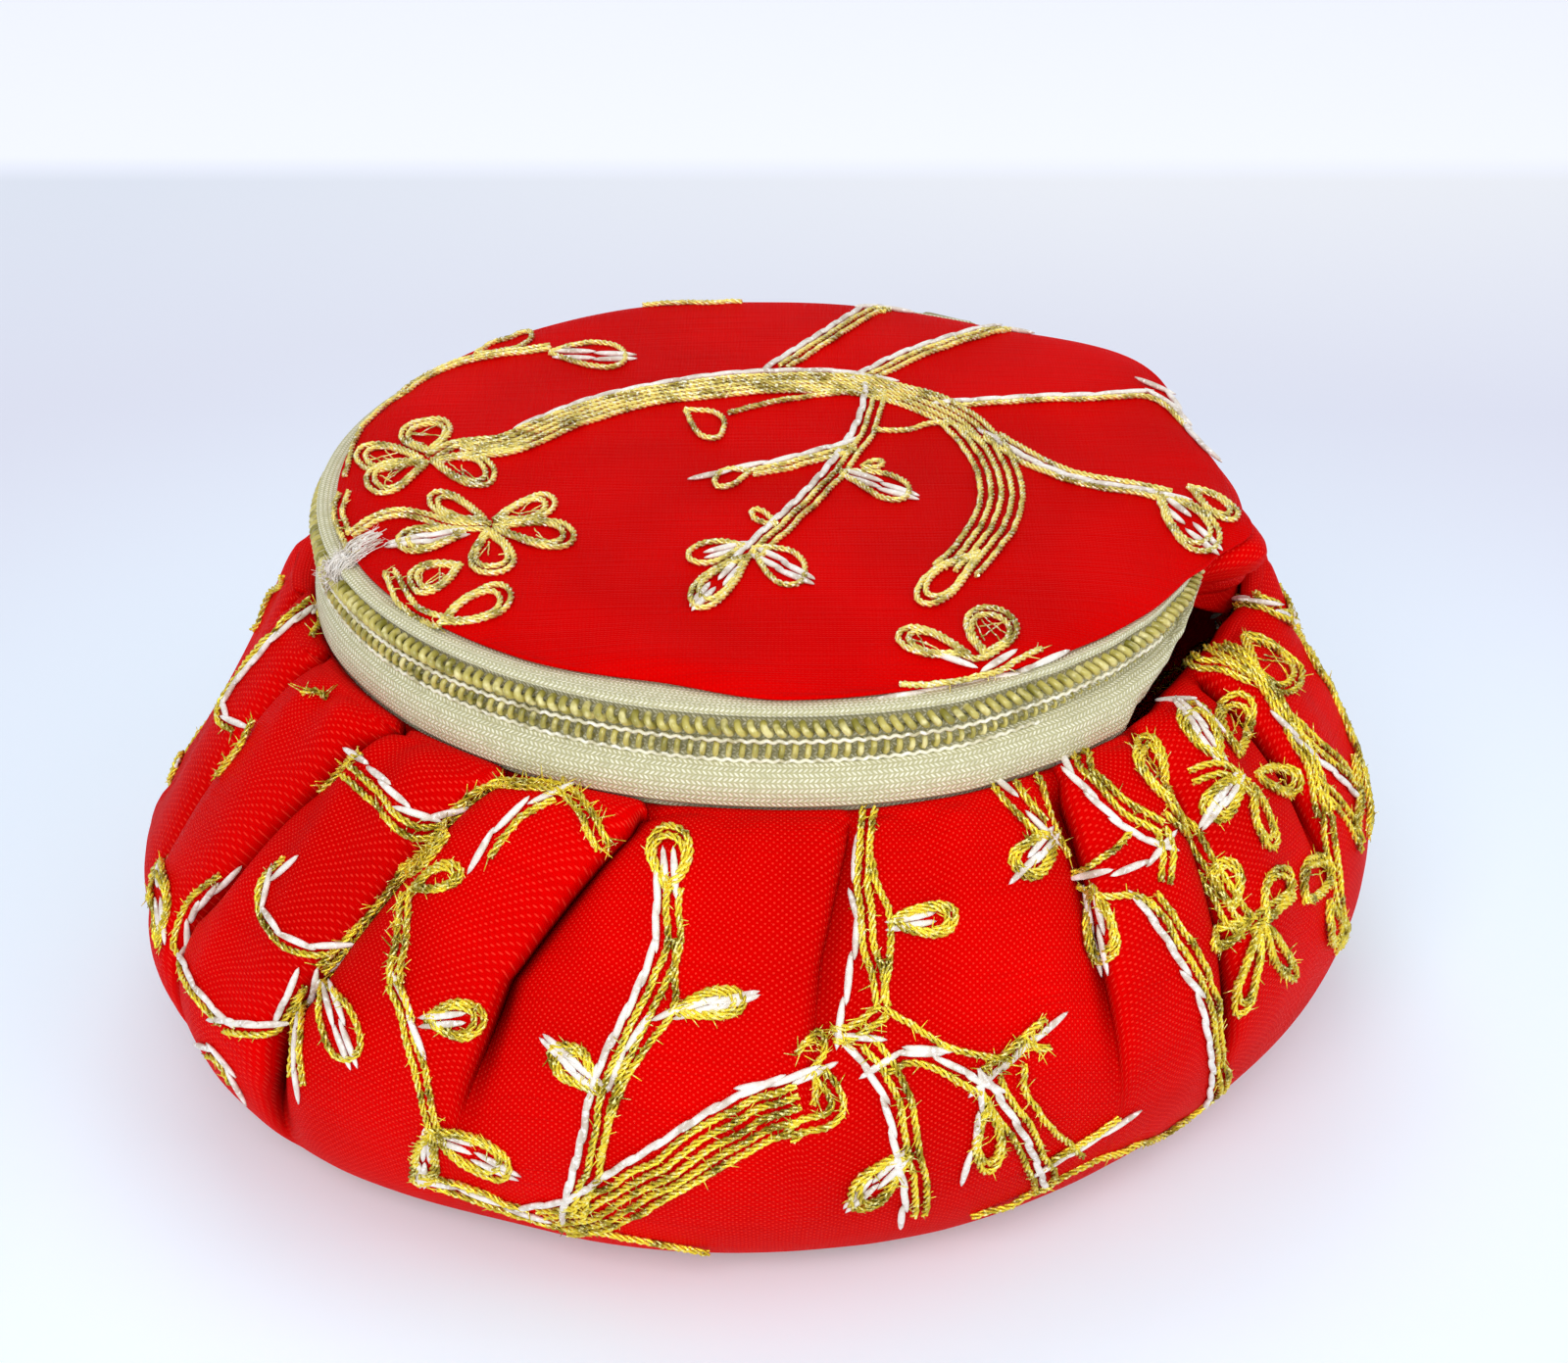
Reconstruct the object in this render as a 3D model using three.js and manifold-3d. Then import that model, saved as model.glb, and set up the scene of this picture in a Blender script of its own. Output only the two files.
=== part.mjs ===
// A round potli bag: a puffed body gathered into its neck, and a flat padded lid that a coil zip
// holds on most of the way round and a cloth hinge holds at the back.
// Millimetres, +Z up. The origin is the middle of the flat base, on the surface that it rests on,
// and the front of the bag faces -Y. Azimuths are degrees about +Z from +X.
import * as THREE from 'three';
import { mergeVertices } from 'three/addons/utils/BufferGeometryUtils.js';
import Module from 'manifold-3d';

// Body
const bodyRadius = 70;
const footRadius = 54;
const bellyHeight = 22;
const neckHeight = 49.8;
const wallPadding = 3.4;
const rimWidth = 2.2;
const rimTurn = 5;
const hemWidth = 3;
const foldDepth = 3.4;
const foldSlip = 2.6;

// Base
const baseThickness = 2.4;

// Lid
const lidRadius = 49;
const lidThickness = 1.4;
const lidCrown = 1.2;

// Zip and hinge
const zipStep = 1.5; // the zip stands this far outside the lid's mean radius
const tapeThickness = 1;
const tapeShown = 5;
const tapeTuck = 4.4;
const tapeFlange = 9;
const neckLean = 0.8; // the lower tape leans out this far by the time it reaches the neck
const coilWidth = 2.2;
const coilDepth = 1.2;
const coilPitch = 1.5;
const topTapeShown = 0.5;
const hingeThickness = 1.6;
const hingeStart = -18;
const hingeEnd = 62;
const sliderLength = 8;
const sliderHeight = 6.4;
const sliderDepth = 3.6;
const sliderTaper = 0.7; // the slider's closed end is this share of its height
const bridgeShare = 0.7; // and so is the bridge that holds the pull
const pullLength = 13;
const pullWidth = 4.4;
const pullThickness = 1;
const pullTilt = 30;

// The neck sits a little to the right of the middle of the base and a little behind it.
const neckRight = 2.2;
const neckBack = 0.4;

// Clearance between pieces that are sewn together on the real bag
const seamGap = 0.3;

// Outline of the body by azimuth: reach is a share of bodyRadius, belly of bellyHeight and foot of
// footRadius. shoulder and under are the fullness of the curve above and below the belly.
const bodyShape = [
  { azimuth: -170, reach: 1.01, belly: 0.91, shoulder: 1.15, under: 1.9, foot: 1.0 },
  { azimuth: -140, reach: 1.035, belly: 0.86, shoulder: 1.25, under: 2.0, foot: 1.01 },
  { azimuth: -110, reach: 1.005, belly: 0.95, shoulder: 1.45, under: 1.9, foot: 1.01 },
  { azimuth: -80, reach: 0.995, belly: 1.05, shoulder: 1.5, under: 1.85, foot: 1.01 },
  { azimuth: -50, reach: 0.965, belly: 1.09, shoulder: 1.6, under: 1.7, foot: 0.98 },
  { azimuth: -20, reach: 1.0, belly: 1.14, shoulder: 1.45, under: 1.8, foot: 1.0 },
  { azimuth: 15, reach: 0.985, belly: 1.0, shoulder: 0.92, under: 1.9, foot: 1.0 },
  { azimuth: 45, reach: 0.98, belly: 0.97, shoulder: 0.9, under: 2.0, foot: 1.02 },
  { azimuth: 90, reach: 0.99, belly: 1.05, shoulder: 1.15, under: 2.0, foot: 1.02 },
  { azimuth: 140, reach: 0.98, belly: 0.91, shoulder: 1.05, under: 2.0, foot: 1.02 },
];

// Slack of the body's rim round the zip, a share of the tape's radius: it gapes at the hinge.
const neckSlack = [
  { azimuth: -150, slack: 0.0 },
  { azimuth: -50, slack: 0.0 },
  { azimuth: -24, slack: 0.04 },
  { azimuth: 0, slack: 0.03 },
  { azimuth: 60, slack: 0.02 },
  { azimuth: 90, slack: 0.0 },
];

// Pleats gathered into the neck. neck and hem are the crease's azimuths where it starts and where
// it fades, reach is how far down it runs, and lean says which side of the crease hangs over the
// other: 1 the side of the lower azimuth, -1 the side of the higher one.
const pleats = [
  { neck: -173, hem: -176, reach: 0.42, depth: 0.7, lean: 1 },
  { neck: -157, hem: -164, reach: 0.5, depth: 0.85, lean: 1 },
  { neck: -139, hem: -150, reach: 0.66, depth: 1.0, lean: 1 },
  { neck: -121, hem: -134, reach: 0.76, depth: 1.0, lean: 1 },
  { neck: -102, hem: -113, reach: 0.56, depth: 0.85, lean: 1 },
  { neck: -83, hem: -86, reach: 0.5, depth: 0.4, lean: 1 },
  { neck: -63, hem: -61, reach: 0.6, depth: 0.55, lean: -1 },
  { neck: -49, hem: -46, reach: 0.62, depth: 0.9, lean: -1 },
  { neck: -30, hem: -27, reach: 0.5, depth: 0.8, lean: -1 },
  { neck: -8, hem: -6, reach: 0.55, depth: 0.75, lean: 1 },
  { neck: 15, hem: 13, reach: 0.5, depth: 0.85, lean: 1 },
  { neck: 39, hem: 37, reach: 0.6, depth: 0.8, lean: 1 },
  { neck: 62, hem: 64, reach: 0.5, depth: 0.7, lean: -1 },
  { neck: 84, hem: 86, reach: 0.6, depth: 0.9, lean: -1 },
  { neck: 106, hem: 110, reach: 0.52, depth: 0.75, lean: -1 },
  { neck: 127, hem: 132, reach: 0.6, depth: 0.9, lean: -1 },
  { neck: 148, hem: 150, reach: 0.5, depth: 0.8, lean: 1 },
  { neck: 167, hem: 166, reach: 0.56, depth: 0.75, lean: 1 },
];
const neckPress = 0.3; // the pleats are pressed this flat where they are sewn in
const foldRise = 0.14; // and stand at their full depth this far down

// Section of a pleat across a panel, from its crease to its middle: foot is the lift of a side that
// lies under its neighbour, flap of one that hangs over it, and slip how far the flap leans out.
const foldSection = [
  { across: 0, foot: -1, flap: -1, slip: 0 },
  { across: 0.07, foot: -0.72, flap: -0.05, slip: 1 },
  { across: 0.24, foot: 0.05, flap: 0.38, slip: 0.4 },
  { across: 0.5, foot: 0.42, flap: 0.42, slip: 0 },
];
const panelColumns = [0, 0.07, 0.24, 0.5, 0.76, 0.93];
const outerRings = [0, 0.05, 0.11, 0.18, 0.26, 0.35, 0.45, 0.55, 0.66, 0.78, 0.9, 1];
const innerRings = [0.84, 0.64, 0.42, 0.2];
const innerFollow = 0.4; // the lining follows this share of each fold

// Outline of the lid, a share of lidRadius
const lidOutline = [
  { azimuth: -175, reach: 0.985 },
  { azimuth: -150, reach: 0.992 },
  { azimuth: -122, reach: 0.985 },
  { azimuth: -105, reach: 0.962 },
  { azimuth: -90, reach: 1.0 },
  { azimuth: -72, reach: 0.985 },
  { azimuth: -50, reach: 0.962 },
  { azimuth: -33, reach: 0.98 },
  { azimuth: -17, reach: 1.05 },
  { azimuth: -4, reach: 0.975 },
  { azimuth: 13, reach: 0.962 },
  { azimuth: 38, reach: 1.065 },
  { azimuth: 60, reach: 0.985 },
  { azimuth: 90, reach: 1.0 },
  { azimuth: 112, reach: 1.03 },
  { azimuth: 132, reach: 1.02 },
  { azimuth: 156, reach: 0.995 },
];

// Height of the lid's padding above its edge: crown is a share of lidCrown
const lidDome = [
  { share: 0.35, crown: 0.9 },
  { share: 0.7, crown: 0.55 },
  { share: 0.92, crown: 0.12 },
];

// Pull of the zip towards the middle where it ends at the hinge, a share of the zip's radius
const zipPull = [
  { azimuth: -60, pull: 0.0 },
  { azimuth: -36, pull: 0.015 },
  { azimuth: -19, pull: 0.07 },
  { azimuth: 0, pull: 0.07 },
  { azimuth: 55, pull: 0.0 },
];

// Middle line of the hinge cloth, from under the lid down into the neck: out is measured in hinge
// thicknesses from an outline that goes from the neck's to the lid's, lid is the lid's share of
// it, and rise is a share of the way from the tuck to the lid.
const hingeFold = [
  { out: -4.5, lid: 1, rise: 1.0 },
  { out: -0.5, lid: 1, rise: 1.0 },
  { out: 0.75, lid: 1, rise: 0.91 },
  { out: 0.65, lid: 1, rise: 0.78 },
  { out: -0.75, lid: 0.8, rise: 0.68 },
  { out: -0.4, lid: 0.4, rise: 0.55 },
  { out: 0.1, lid: 0, rise: 0.45 },
  { out: -0.5, lid: 0, rise: 0.33 },
  { out: -0.5, lid: 0, rise: 0.0 },
];

// Sizes that follow from the ones above
const zipRadius = lidRadius + zipStep;
const neckRadius = zipRadius + neckLean;
const tapeFoot = neckHeight - tapeTuck;
const chainFoot = neckHeight + tapeShown;
const chainMiddle = chainFoot + coilWidth + seamGap / 2;
const chainTop = chainMiddle + seamGap / 2 + coilWidth;
const tapeTop = chainTop + topTapeShown;
const lidUnderside = tapeTop + seamGap;
const zipStart = hingeEnd + toDegrees(2 * seamGap / zipRadius);
const zipEnd = 360 + hingeStart - toDegrees(2 * seamGap / zipRadius);
const sliderCentre = zipStart + toDegrees(sliderLength / 2 / zipRadius);
const coilStart = sliderCentre + toDegrees((sliderLength / 2 + seamGap) / zipRadius);

const redCloth = new THREE.MeshStandardMaterial({ color: 0xcc0404, roughness: 0.62, metalness: 0 });
const tapeCloth = new THREE.MeshStandardMaterial({ color: 0xc6c498, roughness: 0.8, metalness: 0 });
const coilNylon = new THREE.MeshStandardMaterial({ color: 0xa89a3c, roughness: 0.45, metalness: 0 });
const zipMetal = new THREE.MeshStandardMaterial({ color: 0xb9a467, roughness: 0.35, metalness: 1 });

function toDegrees(angle) {
  return THREE.MathUtils.radToDeg(angle);
}

function ease(share) {
  const held = THREE.MathUtils.clamp(share, 0, 1);
  return held * held * (3 - 2 * held);
}

// A column of a table that is read round the full circle, eased from row to row
function around(table, column, azimuth) {
  const first = table[0].azimuth;
  const turned = first + THREE.MathUtils.euclideanModulo(azimuth - first, 360);
  const row = table.findLastIndex((entry) => entry.azimuth <= turned);
  const here = table[row];
  const next = table[(row + 1) % table.length];
  const span = THREE.MathUtils.euclideanModulo(next.azimuth - here.azimuth, 360);
  return THREE.MathUtils.lerp(here[column], next[column], ease((turned - here.azimuth) / span));
}

// A column of a table that is read along a line, straight from row to row
function along(table, key, column, value) {
  const last = Math.max(1, table.findIndex((entry) => entry[key] >= value));
  const before = table[last - 1];
  const after = table[last];
  const share = (value - before[key]) / (after[key] - before[key]);
  return THREE.MathUtils.lerp(before[column], after[column], share);
}

// A point at a radius, azimuth and height about the neck's axis, or part of the way back from it
function polar(radius, azimuth, height, towardsNeck = 1) {
  const angle = THREE.MathUtils.degToRad(azimuth);
  const x = neckRight * towardsNeck + radius * Math.cos(angle);
  const y = neckBack * towardsNeck + radius * Math.sin(angle);
  return new THREE.Vector3(x, y, height);
}

// A closed geometry from its triangles, turned so that its faces point out
function solidFrom(points, faces) {
  let volume = 0;
  for (const [a, b, c] of faces) {
    volume += points[a].dot(points[b].clone().cross(points[c]));
  }
  const outward = volume > 0 ? faces : faces.map(([a, b, c]) => [a, c, b]);
  const geometry = new THREE.BufferGeometry().setFromPoints(points);
  geometry.setIndex(outward.flat());
  geometry.computeVertexNormals();
  return geometry;
}

// Whether two flat outlines go round the same way
function sameTurn(one, other) {
  return THREE.ShapeUtils.isClockWise(one) === THREE.ShapeUtils.isClockWise(other);
}

// Joins neighbouring sections, each a loop of points. A sweep that doesn't close on itself gets a
// cap at each end, cut to the flat outline given for it.
function sweepSolid(sections, flatSection) {
  const count = sections[0].length;
  const closed = flatSection === undefined;
  const spans = closed ? sections.length : sections.length - 1;
  const faces = [];
  for (let span = 0; span < spans; span += 1) {
    const here = span * count;
    const there = ((span + 1) % sections.length) * count;
    for (let side = 0; side < count; side += 1) {
      const next = (side + 1) % count;
      faces.push([here + side, there + side, there + next]);
      faces.push([here + side, there + next, here + next]);
    }
  }
  if (!closed) {
    const end = spans * count;
    for (const [a, b, c] of THREE.ShapeUtils.triangulateShape(flatSection, [])) {
      const alike = sameTurn(flatSection, [flatSection[a], flatSection[b], flatSection[c]]);
      faces.push(alike ? [a, b, c] : [a, c, b]);
      faces.push(alike ? [end + a, end + c, end + b] : [end + a, end + b, end + c]);
    }
  }
  return solidFrom(sections.flat(), faces);
}

// Joins rings of points from a top pole to a bottom pole
function discSolid(rings, top, bottom) {
  const count = rings[0].length;
  const points = [...rings.flat(), top, bottom];
  const topPole = points.length - 2;
  const bottomPole = points.length - 1;
  const lastRing = (rings.length - 1) * count;
  const faces = [];
  for (let side = 0; side < count; side += 1) {
    const next = (side + 1) % count;
    faces.push([topPole, side, next]);
    faces.push([bottomPole, lastRing + next, lastRing + side]);
    for (let ring = 0; ring < rings.length - 1; ring += 1) {
      const here = ring * count;
      const below = here + count;
      faces.push([here + side, below + side, below + next]);
      faces.push([here + side, below + next, here + next]);
    }
  }
  return solidFrom(points, faces);
}

function piece(name, geometry, material) {
  const mesh = new THREE.Mesh(geometry, material);
  mesh.name = name;
  return mesh;
}

// Radius of the body's rim where it closes on the tape
function rimRadius(azimuth) {
  return neckRadius * (1 + around(neckSlack, 'slack', azimuth)) + seamGap;
}

// Radius, height and outward direction of the smooth body at a share of the way down its side
function bodyProfile(azimuth, down) {
  const widest = bodyRadius * around(bodyShape, 'reach', azimuth);
  const belly = bellyHeight * around(bodyShape, 'belly', azimuth);
  const shoulder = 2 / around(bodyShape, 'shoulder', azimuth);
  const under = 2 / around(bodyShape, 'under', azimuth);
  const foot = footRadius * around(bodyShape, 'foot', azimuth);
  const neck = rimRadius(azimuth) + rimWidth;
  const place = (share) => {
    const turn = THREE.MathUtils.clamp(share, 0, 1) * Math.PI;
    if (share < 0.5) {
      const radius = neck + (widest - neck) * Math.sin(turn) ** shoulder;
      const height = belly + (neckHeight - belly) * Math.cos(turn) ** shoulder;
      return new THREE.Vector2(radius, height);
    }
    const radius = foot + (widest - foot) * Math.sin(turn) ** under;
    const height = belly - (belly - seamGap) * Math.abs(Math.cos(turn)) ** under;
    return new THREE.Vector2(radius, height);
  };
  const step = 0.01;
  const slope = place(Math.min(1, down + step)).sub(place(Math.max(0, down - step))).normalize();
  return { at: place(down), out: new THREE.Vector2(-slope.y, slope.x) };
}

function foldStrength(pleat, down) {
  const pressed = THREE.MathUtils.lerp(neckPress, 1, ease(down / foldRise));
  return pleat.depth * pressed * (1 - ease(down / pleat.reach));
}

// Azimuth and lift of the gathered cloth, across the panel that follows a pleat
function gathered(panel, across, down) {
  const start = pleats[panel];
  const end = pleats[(panel + 1) % pleats.length];
  const crease = (pleat) => THREE.MathUtils.lerp(pleat.neck, pleat.hem, ease(down / pleat.reach));
  const from = crease(start);
  const width = THREE.MathUtils.euclideanModulo(crease(end) - from, 360);
  const nearStart = across < 0.5;
  const pleat = nearStart ? start : end;
  const hangs = nearStart ? pleat.lean < 0 : pleat.lean > 0;
  const fromCrease = nearStart ? across : 1 - across;
  const strength = foldStrength(pleat, down);
  const middle = (foldStrength(start, down) + foldStrength(end, down)) / 2;
  const lift = along(foldSection, 'across', hangs ? 'flap' : 'foot', fromCrease);
  const slip = hangs ? along(foldSection, 'across', 'slip', fromCrease) * pleat.lean : 0;
  const blended = THREE.MathUtils.lerp(strength, middle, fromCrease * 2);
  return {
    azimuth: from + width * across,
    lift: lift * blended * foldDepth,
    slip: slip * strength * foldSlip,
  };
}

function makeBodyWall() {
  const sections = [];
  pleats.forEach((pleat, panel) => {
    for (const across of panelColumns) {
      sections.push(wallSection(panel, across));
    }
  });
  return piece('body_wall', sweepSolid(sections), redCloth);
}

// One loop of the wall's section: over the rim, down the outside, under the hem and up the lining
function wallSection(panel, across) {
  const section = [];
  const neck = gathered(panel, across, 0);
  const rim = rimRadius(neck.azimuth);
  section.push(polar(rim, neck.azimuth, neckHeight - rimWidth / 4));
  section.push(polar(rim + rimWidth / 2, neck.azimuth, neckHeight + rimWidth / 6 + neck.lift / 2));
  for (const down of outerRings) {
    const fold = gathered(panel, across, down);
    const { at, out } = bodyProfile(fold.azimuth, down);
    const azimuth = fold.azimuth + toDegrees(fold.slip / at.x);
    at.addScaledVector(out, fold.lift);
    section.push(polar(at.x, azimuth, at.y, 1 - ease(down * 2)));
  }
  const hem = gathered(panel, across, 1);
  const hemRadius = bodyProfile(hem.azimuth, 1).at.x - hemWidth;
  section.push(polar(hemRadius, hem.azimuth, seamGap, 0));
  section.push(polar(hemRadius, hem.azimuth, baseThickness + seamGap, 0));
  for (const down of innerRings) {
    const fold = gathered(panel, across, down);
    const { at, out } = bodyProfile(fold.azimuth, down);
    at.addScaledVector(out, fold.lift * innerFollow - wallPadding);
    section.push(polar(at.x, fold.azimuth, at.y, 1 - ease(down * 2)));
  }
  section.push(polar(rim, neck.azimuth, neckHeight - rimTurn));
  return section;
}

function makeBasePanel() {
  const columns = 64;
  const ring = (inset, height) => Array.from({ length: columns }, (_, column) => {
    const azimuth = (column * 360) / columns;
    const hemRadius = bodyProfile(azimuth, 1).at.x - hemWidth;
    return polar(hemRadius - seamGap - inset, azimuth, height, 0);
  });
  const round = baseThickness / 4;
  const rings = [ring(round, baseThickness), ring(0, baseThickness - round), ring(0, round), ring(round, 0)];
  const top = new THREE.Vector3(0, 0, baseThickness);
  const bottom = new THREE.Vector3(0, 0, 0);
  return piece('base_panel', discSolid(rings, top, bottom), redCloth);
}

function makeLidPanel() {
  const columns = 60;
  const round = lidThickness / 2;
  const ring = (share, inset, height) => Array.from({ length: columns }, (_, column) => {
    const azimuth = (column * 360) / columns;
    const reach = lidRadius * around(lidOutline, 'reach', azimuth);
    return polar(reach * share - inset, azimuth, lidUnderside + height);
  });
  const rings = [
    ...lidDome.map(({ share, crown }) => ring(share, 0, lidThickness + lidCrown * crown)),
    ring(1, round / 2, lidThickness - round / 4),
    ring(1, 0, round),
    ring(1, round / 2, 0),
  ];
  const top = polar(0, 0, lidUnderside + lidThickness + lidCrown);
  const bottom = polar(0, 0, lidUnderside);
  return piece('lid_panel', discSolid(rings, top, bottom), redCloth);
}

// Radius of the tapes' outer face at the zip
function zipOutline(azimuth) {
  return zipRadius * (1 - around(zipPull, 'pull', azimuth));
}

// Sweeps a section round the zip. Each of its corners is an offset out from the zip and a height.
function bandSolid(corners, start, end, columns) {
  const sections = [];
  for (let column = 0; column <= columns; column += 1) {
    const azimuth = THREE.MathUtils.lerp(start, end, column / columns);
    sections.push(corners.map(([out, height]) => polar(zipOutline(azimuth) + out, azimuth, height)));
  }
  const flatSection = corners.map(([out, height]) => new THREE.Vector2(out, height));
  return sweepSolid(sections, flatSection);
}

function makeLowerTape() {
  const top = chainMiddle - seamGap / 2;
  const corners = [
    [0, top],
    [0, chainFoot],
    [neckLean, neckHeight],
    [neckLean, tapeFoot],
    [neckLean - tapeThickness, tapeFoot],
    [neckLean - tapeThickness, neckHeight],
    [-tapeThickness, chainFoot],
    [-tapeThickness, top],
  ];
  return piece('zip_tape_lower', bandSolid(corners, zipStart, zipEnd, 64), tapeCloth);
}

function makeUpperTape() {
  const corners = [
    [0, chainMiddle + seamGap / 2],
    [0, tapeTop - tapeThickness / 2],
    [-tapeThickness / 2, tapeTop],
    [-tapeFlange, tapeTop],
    [-tapeFlange, tapeTop - tapeThickness],
    [-tapeThickness, tapeTop - tapeThickness],
    [-tapeThickness, chainMiddle + seamGap / 2],
  ];
  return piece('zip_tape_upper', bandSolid(corners, zipStart, zipEnd, 64), tapeCloth);
}

// One side of the zip's coil: a strip with a rib for each turn, leaning along the zip
function makeCoil(name, foot, lean) {
  const arc = THREE.MathUtils.degToRad(zipEnd - coilStart) * zipRadius;
  const turns = Math.round(arc / coilPitch);
  const sections = [];
  for (let step = 0; step <= turns * 2; step += 1) {
    const azimuth = THREE.MathUtils.lerp(coilStart, zipEnd, step / (turns * 2));
    const crest = step % 2 === 1;
    const face = zipOutline(azimuth) + seamGap;
    const ends = step === 0 || step === turns * 2;
    const leaned = azimuth + (ends ? 0 : toDegrees((lean * coilPitch) / 4 / zipRadius));
    const depth = crest ? coilDepth : coilDepth / 2;
    sections.push([
      polar(face, azimuth, foot),
      polar(face + depth, leaned, foot + coilWidth / 2),
      polar(face, azimuth, foot + coilWidth),
    ]);
  }
  const flatSection = [
    new THREE.Vector2(0, 0),
    new THREE.Vector2(coilDepth / 2, coilWidth / 2),
    new THREE.Vector2(0, coilWidth),
  ];
  return piece(name, sweepSolid(sections, flatSection), coilNylon);
}

// The cloth that joins the lid to the body behind the zip, folded in on itself once
function makeHinge() {
  const columns = 18;
  const under = lidUnderside - seamGap - hingeThickness / 2;
  const sections = [];
  for (let column = 0; column <= columns; column += 1) {
    const azimuth = THREE.MathUtils.lerp(hingeStart, hingeEnd, column / columns);
    const lidEdge = lidRadius * around(lidOutline, 'reach', azimuth);
    const line = hingeFold.map(({ out, lid, rise }) => new THREE.Vector2(
      THREE.MathUtils.lerp(neckRadius, lidEdge, lid) + out * hingeThickness,
      THREE.MathUtils.lerp(tapeFoot, under, rise),
    ));
    const outside = beside(line, hingeThickness / 2);
    const inside = beside(line, -hingeThickness / 2).reverse();
    sections.push([...outside, ...inside]);
  }
  const placed = sections.map((section, column) => {
    const azimuth = THREE.MathUtils.lerp(hingeStart, hingeEnd, column / columns);
    return section.map(({ x, y }) => polar(x, azimuth, y));
  });
  return piece('hinge_panel', sweepSolid(placed, sections[0]), redCloth);
}

// A line set off to one side of another
function beside(line, distance) {
  return line.map((point, index) => {
    const before = line[Math.max(0, index - 1)];
    const after = line[Math.min(line.length - 1, index + 1)];
    const slope = after.clone().sub(before).normalize();
    return new THREE.Vector2(point.x - slope.y * distance, point.y + slope.x * distance);
  });
}

// A closed geometry made into a solid that can be joined to others
function toManifold(wasm, geometry) {
  const bare = geometry.clone();
  bare.deleteAttribute('normal');
  bare.deleteAttribute('uv');
  const merged = mergeVertices(bare);
  return new wasm.Manifold(new wasm.Mesh({
    numProp: 3,
    vertProperties: Float32Array.from(merged.attributes.position.array),
    triVerts: Uint32Array.from(merged.index.array),
  }));
}

// The slider at the closed end of the zip, with its pull lying down the shoulder, in one piece
async function makeSlider() {
  const wasm = await Module();
  wasm.setup();
  const bridge = new THREE.BoxGeometry(pullWidth / 2, sliderDepth / 2, sliderHeight * bridgeShare);
  bridge.translate(0, sliderDepth, 0);
  const pull = new THREE.BoxGeometry(pullWidth, pullThickness, pullLength);
  pull.translate(0, 0, -pullLength / 2);
  pull.rotateX(THREE.MathUtils.degToRad(pullTilt));
  pull.translate(0, sliderDepth + pullThickness / 2, 0);
  const block = new THREE.ExtrudeGeometry(sliderOutline(), { depth: sliderDepth, bevelEnabled: false });
  block.rotateX(-Math.PI / 2);
  const joined = toManifold(wasm, block).add(toManifold(wasm, bridge)).add(toManifold(wasm, pull));
  const { vertProperties, triVerts } = joined.getMesh();
  const geometry = new THREE.BufferGeometry();
  geometry.setAttribute('position', new THREE.BufferAttribute(vertProperties, 3));
  geometry.setIndex(new THREE.BufferAttribute(triVerts, 1));
  const slider = piece('zip_slider', geometry, zipMetal);
  slider.position.copy(polar(zipRadius + seamGap, sliderCentre, chainMiddle));
  slider.rotation.z = THREE.MathUtils.degToRad(sliderCentre - 90);
  return slider;
}

// Face of the slider: a block whose closed end is narrower
function sliderOutline() {
  const half = sliderLength / 2;
  const tall = sliderHeight / 2;
  const narrow = tall * sliderTaper;
  const points = [[-half, -tall], [half, -narrow], [half, narrow], [-half, tall]];
  return new THREE.Shape(points.map(([x, y]) => new THREE.Vector2(x, y)));
}

const bag = new THREE.Group();
const body = new THREE.Group();
body.add(makeBasePanel(), makeBodyWall());
const zip = new THREE.Group();
zip.add(makeLowerTape(), makeUpperTape());
zip.add(makeCoil('zip_coil_lower', chainFoot, 1));
zip.add(makeCoil('zip_coil_upper', chainMiddle + seamGap / 2, -1));
zip.add(await makeSlider());
const lid = new THREE.Group();
lid.add(makeHinge(), makeLidPanel());
bag.add(body, zip, lid);

export default bag;
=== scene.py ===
# A round potli bag: red cloth gathered into a neck, a coil zip under a flat lid, and gold cords
# couched on all of it. Metres, +Z up, the front faces -Y, azimuths are degrees about +Z from +X.
import math

import bmesh
import bpy
import numpy as np
from mathutils import Matrix, Vector
from mathutils.bvhtree import BVHTree


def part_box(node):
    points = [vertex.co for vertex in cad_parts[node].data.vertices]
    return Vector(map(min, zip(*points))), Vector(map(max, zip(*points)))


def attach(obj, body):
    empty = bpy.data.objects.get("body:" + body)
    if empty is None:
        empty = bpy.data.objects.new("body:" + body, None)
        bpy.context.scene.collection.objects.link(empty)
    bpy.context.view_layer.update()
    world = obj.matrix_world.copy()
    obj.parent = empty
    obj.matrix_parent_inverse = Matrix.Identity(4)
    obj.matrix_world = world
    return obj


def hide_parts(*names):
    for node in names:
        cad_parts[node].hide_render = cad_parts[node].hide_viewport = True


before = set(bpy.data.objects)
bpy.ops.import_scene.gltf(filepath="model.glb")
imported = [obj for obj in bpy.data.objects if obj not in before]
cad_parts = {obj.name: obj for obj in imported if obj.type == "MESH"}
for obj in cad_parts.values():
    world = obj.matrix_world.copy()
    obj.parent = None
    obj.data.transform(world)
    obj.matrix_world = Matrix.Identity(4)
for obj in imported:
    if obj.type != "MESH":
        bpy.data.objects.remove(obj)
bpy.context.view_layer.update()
mm = 0.001
tau = 2 * math.pi
print("frame loaded")


# Heights of the zip, the lid and the base, read from the frame
tapeFoot, chainMiddle = (corner.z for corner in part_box("zip_tape_lower"))
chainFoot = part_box("zip_coil_lower")[0].z
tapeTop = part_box("zip_tape_upper")[1].z
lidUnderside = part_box("lid_panel")[0].z
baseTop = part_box("base_panel")[1].z

camera = {
    "down": 30,  # degrees below the horizon
    "distance": 0.360,
    "target": (0, 0, 0.030),
    "lens": 72.33,
    "sensor": 36,
    "width": 1600,  # pixels of the photograph's frame
    "targetPixel": (778, 735),
    "middlePixel": (800, 695.5),
}

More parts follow.
